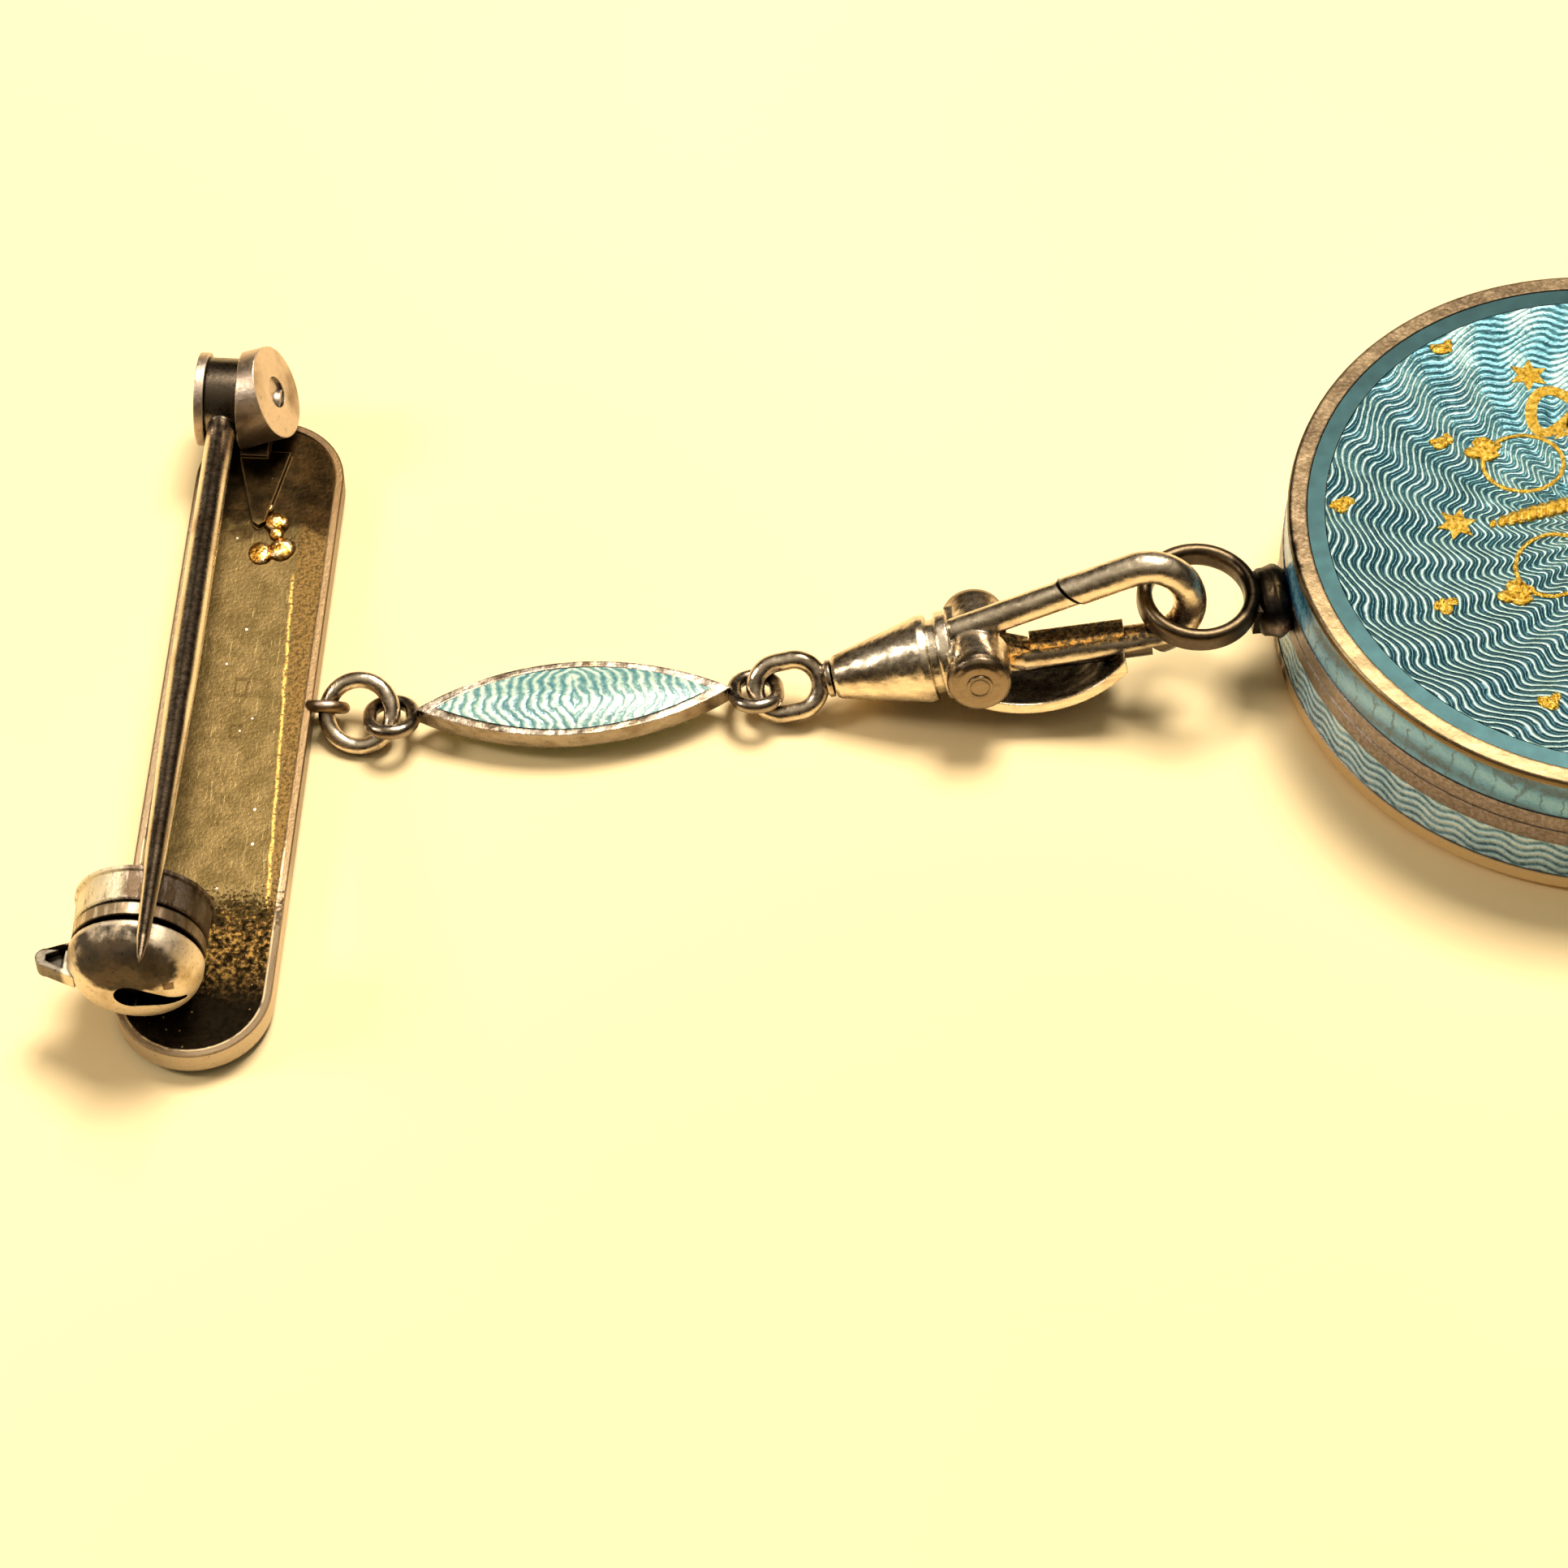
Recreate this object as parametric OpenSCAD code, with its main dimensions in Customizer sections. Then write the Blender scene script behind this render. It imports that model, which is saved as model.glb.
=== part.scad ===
// Chatelaine watch pin: an enamelled bar brooch with a short chain, a swivel clip and a pendant watch.
// It lies on its enamelled front. X runs along the chain from the bar to the watch, Z is up,
// and the origin is on the floor under the middle of the whole piece.

/* [Bar brooch] */
// Length of the bar
bar_len = 33.1; // [30:0.1:40]
// Width of the bar
bar_w = 6.5; // [6.2:0.1:8]
// Height of the rim round the back plate above the floor
bar_h = 1.5; // [1.4:0.05:2.2]
// Thickness of the side wall, which is also the rim round the back plate
bar_wall = 0.35; // [0.3:0.05:0.6]
// Thickness of the back plate
plate_t = 0.4; // [0.3:0.05:0.6]
// Depth of the rim round the back plate
rim_step = 0.08; // [0.04:0.02:0.2]
// Height of the enamel that shows below the metal wall
bar_enamel_show = 0.42; // [0.3:0.02:0.6]
// Turn of the bar in plan
bar_yaw = -3.2; // [-8:0.2:0]

/* [Pin and hinge] */
// Distance of the hinge line from the end of the bar
hinge_inset = 0.45; // [0.2:0.05:1.2]
// Height of the hinge line
hinge_z = 3.4; // [3.2:0.1:4.5]
// Sideways place of the gap between the hinge ears
hinge_x = -2.1; // [-2.3:0.1:0]
// Diameter of the hinge ears
ear_d = 4.1; // [3.6:0.1:4.6]
// Thickness of the ear beside the chain at its top
ear_thick = 0.75; // [0.6:0.05:1.2]
// Lean of the outer face of that ear
ear_lean = 24; // [10:1:28]
// Thickness of the other ear
ear_thin = 0.4; // [0.3:0.05:0.8]
// Gap between the ears
ear_gap = 1.44; // [1.4:0.02:1.6]
// Diameter of the hinge rivet
hinge_rivet_d = 1.1; // [0.8:0.1:1.4]
// Diameter of the pin where it leaves its eye
stem_d = 1.22; // [1:0.02:1.5]
// Reach of the pin's point past the safety catch
stem_past = 1.22; // [0.4:0.02:2]
// Sideways turn of the pin
stem_yaw = 2; // [0:0.2:4]
// Diameter of the eye at the top of the pin
stem_eye_d = 3.7; // [3.2:0.1:4]
// Width of the solder tongue at the ear
tongue_w = 2.2; // [1.6:0.1:2.6]
// Length of the solder tongue on the back plate
tongue_len = 4.1; // [3:0.1:6]
// Thickness of the solder tongue
tongue_t = 0.32; // [0.2:0.02:0.6]

/* [Safety catch] */
// Sideways place of the catch
catch_x = -1.9; // [-2.2:0.1:0]
// Distance of the back of the catch from the end of the bar
catch_inset = 5.45; // [4.8:0.05:7]
// Height of the middle of the catch
catch_z = 4.4; // [4.3:0.1:5]
// Diameter of the fixed collar
collar_d = 5.45; // [5:0.05:5.6]
// Length of the fixed collar
collar_len = 1.6; // [1.2:0.1:2]
// Diameter of the turning sleeve at its rounded end
sleeve_d = 5.5; // [5:0.05:5.6]
// Width of the slot in the end of the sleeve
sleeve_slot_w = 2.9; // [2:0.1:3]
// Height of the slot in the end of the sleeve
sleeve_slot_h = 1.35; // [0.8:0.05:1.6]
// Length of the turning sleeve
sleeve_len = 2.75; // [2.6:0.05:3.2]
// Radius of the rounded end of the sleeve
sleeve_round = 1.45; // [1:0.05:1.6]
// Diameter of the spigot that the sleeve turns on
spigot_d = 2; // [1.6:0.1:2.6]
// Reach of the thumb tab from the sleeve
tab_reach = 1.3; // [1:0.1:1.6]
// Width of the thumb tab at the sleeve
tab_w = 1.8; // [1.4:0.1:2]
// Height of the thumb tab
tab_h = 0.8; // [0.5:0.1:1]
// Wall of the cradle under the sleeve
cradle_t = 0.3; // [0.2:0.02:0.5]
// Half of the angle that the cradle covers
cradle_half = 36; // [25:1:50]

/* [Chain] */
// Height of the middle of the jump ring above the floor
chain_z = 1.15; // [1.13:0.01:1.4]
// Rise of the link over the rings that carry it
link_lift = 0.15; // [0.1:0.01:0.2]
// Place of the side lug along the bar
lug_y = 1.37; // [-2:0.1:4]
// Diameter of the lug wire
lug_wire = 0.5; // [0.4:0.02:0.6]
// Radius of the lug to the middle of its wire
lug_r = 0.72; // [0.7:0.02:1]
// Distance of the middle of the lug from the wall
lug_stand = 0.6; // [0.55:0.05:0.7]
// Radius of the jump ring to the middle of its wire
ring_r = 1.42; // [1.35:0.01:1.45]
// Diameter of the jump ring wire
ring_wire = 0.72; // [0.6:0.02:0.74]
// Turn of the jump ring in plan
ring_yaw = -13; // [-20:1:0]
// Lean of the jump ring, far side up
ring_roll = 33; // [30:1:36]
// Length of the navette link without its loops
link_len = 13.4; // [11:0.1:16]
// Width of the navette link
link_w = 3.8; // [3.4:0.1:4.4]
// Height of the metal wall of the link
link_h = 0.9; // [0.8:0.05:1.1]
// Width of the metal rim of the link
link_rim = 0.28; // [0.2:0.02:0.4]
// Rise of the enamel over the rim of the link
link_dome = 0.25; // [0.1:0.05:0.4]
// Turn of the link in plan
link_yaw = 5; // [3:0.5:7]
// Diameter of the wire of the link loops
loop_wire = 0.62; // [0.5:0.02:0.64]
// Radius of the link loops to the middle of their wire
loop_r = 0.9; // [0.87:0.01:1]
// Straight stretch across the link loops
loop_straight = 0.5; // [0.4:0.05:0.7]
// Lean of the link loops, near side up
loop_roll = -20; // [-24:1:-16]

/* [Swivel clip] */
// Diameter of the wire of the swivel eye
eye_wire = 0.8; // [0.7:0.02:0.84]
// Half width of the swivel eye to the middle of its wire
eye_r = 1.1; // [1.05:0.01:1.3]
// Straight stretch along the swivel eye
eye_straight = 0.6; // [0.4:0.05:0.9]
// Lean of the swivel eye, far side up
eye_roll = 38; // [34:1:44]
// Diameter of the ball between the eye and the ferrule
neck_d = 1.6; // [1.4:0.05:1.7]
// Distance from the middle of the eye to the clip's rivet
neck_len = 8.2; // [8:0.1:10]
// Turn of the clip in plan
clip_yaw = 5.5; // [4:0.5:7]
// Rise of the clip toward the watch
clip_pitch = 12; // [10:0.5:13]
// Lean of the clip away from the viewer
clip_roll = 18; // [12:1:22]
// Length of the ferrule
ferrule_len = 4.2; // [3.8:0.1:5]
// Diameter of the narrow end of the ferrule
ferrule_d1 = 1.9; // [1.8:0.1:2.2]
// Diameter of the wide end of the ferrule and of its collar
ferrule_d2 = 3.8; // [3.4:0.1:4]
// Length of the collar beside the boss
clip_collar_len = 0.6; // [0.4:0.05:0.8]
// Width of the groove before the collar
groove_w = 0.45; // [0.3:0.05:0.6]
// Distance from the face of the collar to the clip's rivet
boss_dist = 0.9; // [0.8:0.05:1.1]
// Diameter of the cross boss
boss_d = 2.75; // [2.4:0.05:3]
// Length of the cross boss
boss_len = 5.5; // [4.5:0.1:6]
// Width of the slot in the cross boss
slot_w = 1.1; // [1:0.05:1.3]
// Diameter of the clip's rivet
clip_rivet_d = 0.8; // [0.7:0.05:0.9]
// Diameter of the hook's wire
hook_wire = 1.4; // [1.2:0.05:1.5]
// Diameter of the fixed short arm
arm_wire = 1.25; // [1.1:0.05:1.4]
// Radius of the hook's bend to the middle of its wire
hook_bend_r = 1.84; // [1.8:0.02:2.1]
// Distance of the middle of the hook's bend from the rivet along the clip
hook_reach = 7.45; // [7.2:0.05:8.5]
// Height of the middle of the hook's bend over the rivet
hook_rise = 0.53; // [0.4:0.01:0.6]
// Slope of the lower arm
lower_slope = 4.9; // [4:0.1:5.5]
// Slope of the upper arms
upper_slope = 9.4; // [9:0.1:10]
// Length of the lower arm's round stretch
lower_len = 5.4; // [5.2:0.1:6]
// Distance of the seam from the rivet along the clip
seam_a = 4.5; // [4:0.1:5]
// Slant of the seam
seam_slant = 49; // [40:1:60]
// Width of the thumb leaf
leaf_w = 3; // [2:0.1:3.4]
// Wall of the hook's eye round its rivet
hook_eye_wall = 0.4; // [0.3:0.05:0.5]
// Thickness of the thumb leaf
leaf_t = 0.45; // [0.3:0.05:0.6]
// Radius of the curve of the thumb leaf
leaf_curve = 5.45; // [5.2:0.05:5.8]
// Depth of the thumb leaf below the rivet
leaf_drop = 2.9; // [2.8:0.05:3]
// Length of the spring strip on the lower arm
strip_len = 4; // [3:0.1:4.3]
// Width of the spring strip
strip_w = 1; // [0.8:0.1:1.2]
// Thickness of the spring strip
strip_t = 0.3; // [0.2:0.05:0.4]

/* [Watch] */
// Diameter of the watch case
case_d = 27.6; // [24:0.2:32]
// Height of the bezel round the crystal
bezel_h = 1.05; // [0.9:0.05:1.5]
// Height of the lower enamel band
lower_band_h = 2.2; // [1.6:0.05:3]
// Height of the metal band between the enamel bands
mid_h = 1.85; // [1.6:0.05:2.4]
// Height of the upper enamel band
upper_band_h = 2.1; // [1.6:0.05:3]
// Height of the rim over the upper enamel band
top_rim_h = 0.3; // [0.25:0.05:0.5]
// Width of the metal rim on the back
back_rim = 0.8; // [0.6:0.05:1.2]
// Width of the plain enamel ring inside the rim
back_ring = 0.8; // [0.5:0.05:1.5]
// Depth of the enamel on the back and sides
enamel_t = 0.5; // [0.4:0.02:0.6]
// Rise of the enamelled back
back_dome = 0.2; // [0.1:0.05:0.4]
// Width of the bezel round the crystal
bezel_w = 1.8; // [1.6:0.1:2.2]
// Thickness of the crystal
crystal_t = 0.7; // [0.5:0.05:1]
// Thickness of the dial
dial_t = 0.3; // [0.2:0.05:0.5]
// Thickness of the hands
hand_t = 0.15; // [0.1:0.01:0.2]
// Diameter of the post that carries the hands
hand_post_d = 0.7; // [0.5:0.05:0.9]
// Length of the minute hand
minute_len = 10; // [8:0.1:11]
// Radius of the minute hand's hub
minute_hub_r = 0.7; // [0.5:0.05:1]
// Radius of the hour hand's hub
hour_hub_r = 0.8; // [0.6:0.05:1.2]
// Length of the hour hand
hour_len = 6.6; // [5:0.1:8]
// Outer diameter of the bow
bow_d = 5.2; // [5:0.1:6]
// Width of the bow's band
bow_w = 0.65; // [0.5:0.05:0.7]
// Height of the bow's band
bow_h = 1.1; // [0.8:0.05:1.2]
// Turn of the bow about the hook
bow_yaw = 14; // [8:1:18]
// Drop of the bow below the middle of the hook's bend
bow_drop = 0.26; // [0.2:0.02:0.3]
// Distance between the bow and the case
bow_gap = 1.2; // [0.8:0.1:2]
// Width of the lug between the bow and the case
bow_lug_w = 2.2; // [1.6:0.1:2.8]
// Height of the lug between the bow and the case
bow_lug_h = 1.5; // [1.2:0.1:1.6]
// Turn of the watch in plan, from the bow
watch_yaw = 6.2; // [2:0.2:10]

/* [Fits] */
// Running clearance of the rivets, the swivel and the sleeve
run_gap = 0.05; // [0.03:0.01:0.08]
// Clearance between pieces that are set into one another
set_gap = 0.04; // [0.03:0.01:0.08]
// Width of the seam between the hook and the fixed arm
seam_gap = 0.05; // [0.03:0.01:0.1]

/* [Hidden] */
$fn = 48;

function plan(yaw) = [cos(yaw), sin(yaw), 0];
function on_bar(p) = [p.x * cos(bar_yaw) - p.y * sin(bar_yaw), p.x * sin(bar_yaw) + p.y * cos(bar_yaw), p.z];

// Directions of the clip: along it, and up in the plane of its hook
clip_a = [cos(clip_yaw) * cos(clip_pitch), sin(clip_yaw) * cos(clip_pitch), sin(clip_pitch)];
clip_up = [-cos(clip_yaw) * sin(clip_pitch), -sin(clip_yaw) * sin(clip_pitch), cos(clip_pitch)];
clip_v = clip_up * cos(clip_roll) + [-sin(clip_yaw), cos(clip_yaw), 0] * sin(clip_roll);

// Places along the bar, measured from its middle
plate_top = bar_h - rim_step;
hinge_y = bar_len / 2 - hinge_inset;
catch_y = catch_inset - bar_len / 2;
catch_dist = hinge_y - catch_y;
stem_r_catch = stem_d / 2 * 0.7;
stem_lift = asin((catch_z + collar_d / 2 + stem_r_catch + 2 * run_gap - hinge_z) / catch_dist);
stem_len = (catch_dist + collar_len + sleeve_len + stem_past) / cos(stem_lift) / cos(stem_yaw);
stem_tip = [hinge_x + stem_len * sin(stem_yaw), hinge_y - stem_len * cos(stem_lift) * cos(stem_yaw), 0];

// Places along the chain, each from the piece before it
lug_c = on_bar([bar_w / 2 + lug_stand, lug_y, chain_z]);
ring_c = lug_c + ring_r * plan(ring_yaw);
loop_out = link_len / 2 + loop_r + loop_wire / 4;
loop_left = ring_c + ring_r * plan(ring_yaw) + [0, 0, link_lift];
link_c = loop_left + loop_out * plan(link_yaw);
loop_right = link_c + loop_out * plan(link_yaw);
eye_c = loop_right - [0, 0, link_lift] + (eye_straight / 2 + eye_r) * clip_a;
rivet_c = eye_c + neck_len * clip_a;
bend_c = rivet_c + hook_reach * clip_a + hook_rise * clip_v;
bow_r = (bow_d - bow_w) / 2;
bow_c = bend_c + bow_r * plan(bow_yaw) - [0, 0, bow_drop];
case_r = case_d / 2;
watch_c = bow_c + (bow_d / 2 + bow_gap + case_r) * plan(watch_yaw);

// Extents in plan, which set the origin
tab_tip = on_bar([catch_x - sleeve_d / 2 - tab_reach, catch_y - collar_len - sleeve_len / 2, 0]);
bar_end = (bar_len - bar_w) / 2 * cos(bar_yaw) + bar_w / 2;
x_low = tab_tip.x;
x_high = watch_c.x + case_r;
y_low = min(-bar_end, on_bar(stem_tip).y);
y_high = watch_c.y + case_r;
origin = [(x_low + x_high) / 2, (y_low + y_high) / 2, 0];

// Heights in the watch
case_h = bezel_h + lower_band_h + mid_h + upper_band_h + top_rim_h;
mid_low = bezel_h + lower_band_h;
mid_high = mid_low + mid_h;
crystal_low = 0.3;
hand_space = 0.2;
minute_low = crystal_low + crystal_t + hand_space;
hour_low = minute_low + hand_t + hand_space;
dial_low = hour_low + hand_t + hand_space;
dial_high = dial_low + dial_t;
crystal_r = case_r - bezel_w + 0.25;

module place() translate(-origin) children();
module bar_place() place() rotate([0, 0, bar_yaw]) children();
module clip_place() place() translate(rivet_c) rotate([-clip_roll, -clip_pitch, clip_yaw]) children();
module watch_place() place() translate([watch_c.x, watch_c.y, 0]) rotate([0, 0, watch_yaw]) children();

// Frame of the safety catch: Z runs forward along its axis, Y is up
module catch_place() bar_place() translate([catch_x, catch_y, catch_z]) rotate([90, 0, 0]) children();

// Oval loop of round wire in the XY plane, its straight stretches along X
module oval_ring(bend_r, straight, wire_r) {
    for (side = [0, 180]) rotate([0, 0, side]) {
        translate([straight / 2, 0, 0])
            rotate([0, 0, -90]) rotate_extrude(angle = 180) translate([bend_r, 0]) circle(wire_r);
        translate([0, bend_r, 0]) rotate([0, 90, 0]) cylinder(h = straight, r = wire_r, center = true);
    }
}

// Pointed oval of the link, drawn as two circles that cross
module navette(length, width) {
    r = (length * length + width * width) / (4 * width);
    intersection() {
        translate([0, r - width / 2]) circle(r);
        translate([0, width / 2 - r]) circle(r);
    }
}

// Solid turned about the X axis from [distance along, radius] points
module turned(points) rotate([90, 0, 90]) rotate_extrude() polygon([for (p = points) [p[1], p[0]]]);

// Flat piece in the XZ plane, with its thickness along Y
module side_plate(thick) rotate([90, 0, 0]) linear_extrude(thick, center = true) children();

// Long form with round ends from half of its cross-section, its length along Y
module round_ended(straight, half) {
    left = [for (i = [len(half) - 1:-1:0]) [-half[i][0], half[i][1]]];
    rotate([90, 0, 0]) linear_extrude(straight, center = true) polygon(concat(half, left));
    for (end = [0, 180])
        rotate([0, 0, end]) translate([0, straight / 2, 0]) rotate_extrude(angle = 180) polygon(half);
}

module bar_metal() color("#b59a63") {
    straight = bar_len - bar_w;
    half = bar_w / 2;
    bar_place() {
        round_ended(straight, [[0, plate_top - plate_t], [half - bar_wall, plate_top - plate_t],
            [half - bar_wall, bar_enamel_show], [half, bar_enamel_show], [half, bar_h - 0.06],
            [half - 0.06, bar_h], [half - bar_wall, bar_h], [half - bar_wall, plate_top], [0, plate_top]]);
        hinge_ears();
        side_lug();
        catch_foot();
    }
    catch_place() catch_collar();
}

module hinge_ears() {
    ear_x = hinge_x + ear_gap / 2;
    base_y = hinge_y - ear_d / 2;
    low = plate_top - plate_t / 2;
    translate([ear_x, hinge_y, hinge_z]) leaning_ear();
    translate([hinge_x - ear_gap / 2 - ear_thin, hinge_y, hinge_z])
        rotate([0, 90, 0]) cylinder(h = ear_thin, d = ear_d);
    translate([hinge_x - ear_gap / 2 - 0.1, hinge_y, hinge_z])
        rotate([0, 90, 0]) cylinder(h = ear_gap + 0.2, d = hinge_rivet_d);
    translate([ear_x, base_y + 0.2, low])
        cube([ear_thick + ear_d / 4 * tan(ear_lean), bar_len / 2 - base_y - 0.6, 0.7]);
    tongue_y = base_y + 0.6;
    translate([0, 0, low]) linear_extrude(plate_t / 2 + tongue_t)
        polygon([[ear_x - 0.1, tongue_y], [ear_x + tongue_w, tongue_y],
            [0.1, tongue_y - tongue_len + 0.2], [-0.16, tongue_y - tongue_len],
            [-0.42, tongue_y - tongue_len + 0.2]]);
}

// Ear whose outer face looks up and away from the pin, with the sunk end of the rivet
module leaning_ear() {
    outer = (ear_thick + ear_d / 2 * sin(ear_lean)) / cos(ear_lean);
    rivet_end = outer / cos(ear_lean) - 0.16;
    difference() {
        intersection() {
            rotate([0, 90 - ear_lean, 0]) cylinder(h = 2 * outer, d = ear_d, center = true);
            translate([0, -ear_d, -ear_d]) cube([ear_d, 2 * ear_d, 2 * ear_d]);
        }
        rotate([0, 90 - ear_lean, 0]) translate([0, 0, outer - 0.16])
            cylinder(h = 1, d = hinge_rivet_d + 0.3);
    }
    rotate([0, 90, 0]) cylinder(h = rivet_end, d = hinge_rivet_d);
}

module side_lug() {
    translate([bar_w / 2 + lug_stand, lug_y, chain_z]) rotate([90 + ring_roll, 0, 0]) difference() {
        rotate_extrude() translate([lug_r, 0]) circle(d = lug_wire);
        translate([-lug_stand - bar_wall - 2, 0, 0]) cube([4, 4, 4], center = true);
    }
}

module catch_foot() {
    foot_w = collar_d * 0.42;
    translate([catch_x - foot_w / 2, catch_y - collar_len, plate_top - plate_t / 2])
        cube([foot_w, collar_len, catch_z - plate_top - collar_d / 4]);
}

// Fixed collar, its spigot, and the cradle that goes under the sleeve
module catch_collar() {
    collar_r = collar_d / 2;
    spigot_r = spigot_d / 2;
    spigot_end = collar_len + sleeve_len - 0.8;
    rotate_extrude() polygon([[0, 0], [collar_r, 0], [collar_r + 0.12, 0.08], [collar_r + 0.12, 0.24],
        [collar_r, 0.3], [collar_r, collar_len - 0.08], [collar_r - 0.08, collar_len],
        [spigot_r, collar_len], [spigot_r, spigot_end], [0, spigot_end]]);
    cradle_r = max(collar_r, sleeve_d / 2) + 2 * run_gap;
    reach = cradle_r + cradle_t;
    translate([0, 0, collar_len - 0.3]) linear_extrude(sleeve_len - sleeve_round + 0.6) intersection() {
        difference() {
            circle(reach);
            circle(cradle_r);
        }
        polygon([[0, 0], [-reach * tan(cradle_half), -reach], [-reach * tan(cradle_half), -2 * reach],
            [reach * tan(cradle_half), -2 * reach], [reach * tan(cradle_half), -reach]]);
    }
    translate([0, 0, collar_len - 0.3]) intersection() {
        cylinder(h = 0.3, r = reach);
        translate([-1.4, -reach, 0]) cube([2.8, reach, 0.3]);
    }
}

module bar_enamel() color("#6f9fb4") bar_place() {
    half = bar_w / 2;
    inner = half - bar_wall - set_gap;
    top = plate_top - plate_t - set_gap;
    shown = bar_enamel_show - set_gap;
    round_ended(bar_len - bar_w, [[0, 0], [half - 1.3, 0.02], [half - 0.6, 0.1], [half - 0.2, 0.22],
        [half - 0.02, shown], [inner, shown], [inner, top], [0, top]]);
}

module pin_stem() color("#8a7350") bar_place()
    translate([hinge_x, hinge_y, hinge_z]) rotate([-stem_lift, 0, 0]) {
        eye_t = ear_gap - 2 * run_gap;
        r = stem_d / 2;
        difference() {
            union() {
                rotate([0, 90, 0]) cylinder(h = eye_t, d = stem_eye_d, center = true);
                rotate([90, 0, stem_yaw]) rotate_extrude() polygon([[0, 0], [r - 0.05, 0],
                    [r, stem_eye_d / 2 + 0.8], [r, stem_len * 0.5], [r * 0.9, stem_len * 0.62],
                    [r * 0.7, stem_len * 0.82],
                    [r * 0.42, stem_len * 0.96], [r * 0.2, stem_len * 0.99], [0, stem_len]]);
            }
            rotate([0, 90, 0]) cylinder(h = ear_gap * 2, d = hinge_rivet_d + 2 * run_gap, center = true);
        }
    }

module catch_sleeve() color("#c9a673") catch_place() {
    r = sleeve_d / 2;
    start = collar_len + run_gap;
    end = collar_len + sleeve_len;
    groove = start + 0.75;
    bore = spigot_d / 2 + run_gap;
    difference() {
        union() {
            rotate_extrude() polygon([[0, start], [r - 0.12, start], [r - 0.05, start + 0.1],
                [r - 0.05, groove - 0.1], [r - 0.3, groove], [r - 0.3, groove + 0.15],
                [r, groove + 0.25], [r, end - sleeve_round],
                [0, end - sleeve_round]]);
            rotate_extrude() intersection() {
                union() {
                    translate([0, end - sleeve_round - 0.1]) square([r, 0.1]);
                    translate([0, end - sleeve_round]) square([r - sleeve_round, sleeve_round]);
                    translate([r - sleeve_round, end - sleeve_round]) circle(sleeve_round);
                }
                translate([0, end - sleeve_round - 0.1]) square([r, sleeve_round + 0.1]);
            }
            thumb_tab();
        }
        translate([0, 0, start - 1]) cylinder(h = sleeve_len - 0.8 + 2 * run_gap + 1 - run_gap, r = bore);
        translate([-sleeve_d * 0.01, -sleeve_d * 0.055, end - 0.45]) linear_extrude(1) end_slot();
    }
}

// Outline of the slot in the end of the sleeve: round on the left, drawn out to the right
module end_slot() {
    half = sleeve_slot_h / 2;
    tip_r = 0.12;
    tip = [sleeve_slot_w - half - tip_r, -half * 0.3];
    circle(half);
    polygon([[0, -half], [tip.x, tip.y - tip_r], [tip.x, tip.y + tip_r], [0, half]]);
    translate(tip) circle(tip_r);
}

// Folded loop on the side of the sleeve
module thumb_tab() {
    root = -sleeve_d / 2 + 0.35;
    tip_r = 0.42;
    tip = -sleeve_d / 2 - tab_reach + tip_r;
    mid = collar_len + sleeve_len / 2;
    half = tab_w / 2;
    translate([0, -tab_h / 2 - 0.2, mid]) rotate([-90, 0, 0]) linear_extrude(tab_h) difference() {
        union() {
            polygon([[root, -half], [root, half], [tip, tip_r], [tip, -tip_r]]);
            translate([tip, 0]) circle(tip_r);
        }
        polygon([[-sleeve_d / 2 - 0.1, -half * 0.55], [-sleeve_d / 2 - 0.1, half * 0.55],
            [tip, tip_r * 0.35],
            [tip, -tip_r * 0.35]]);
    }
}

module jump_ring() color("#9c8262") place() translate(ring_c) rotate([ring_roll, 0, ring_yaw])
    rotate_extrude() translate([ring_r, 0]) circle(d = ring_wire);

module link_place() place() translate(link_c) rotate([0, 0, link_yaw]) children();

module link_metal() color("#c2a06a") link_place() {
    web = 0.2;
    difference() {
        linear_extrude(link_h, center = true, $fn = 96) navette(link_len, link_w);
        for (face = [0, 180]) rotate([face, 0, 0]) translate([0, 0, web / 2])
            linear_extrude(link_h, $fn = 96) navette(link_len - 6 * link_rim, link_w - 2 * link_rim);
    }
    for (end = [0, 180]) rotate([0, 0, end]) translate([loop_out, 0, 0])
        rotate([end == 0 ? loop_roll : -loop_roll, 0, 0]) rotate([0, 0, 90])
            oval_ring(loop_r, loop_straight, loop_wire / 2);
}

// Enamel of one face of the link, a low dome
module link_enamel() {
    web = 0.2;
    low = web / 2 + set_gap;
    flat_h = link_h / 2 - low;
    length = link_len - 6 * link_rim - 2 * set_gap;
    width = link_w - 2 * link_rim - 2 * set_gap;
    barrel_r = width * width / (8 * link_dome) + link_dome / 2;
    arc = [for (i = [-8:8]) [barrel_r - link_dome * i * i / 64, i * length / 16]];
    intersection() {
        translate([0, 0, low]) linear_extrude(flat_h + link_dome, $fn = 96) navette(length, width);
        translate([0, 0, link_h / 2 + link_dome - barrel_r]) rotate([0, 90, 0]) rotate_extrude($fn = 96)
            polygon(concat([[0, -length / 2]], arc, [[0, length / 2]]));
    }
}

module link_enamel_top() color("#a8d4cf") link_place() link_enamel();

module link_enamel_bottom() color("#a8d4cf") link_place() rotate([180, 0, 0]) link_enamel();

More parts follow.
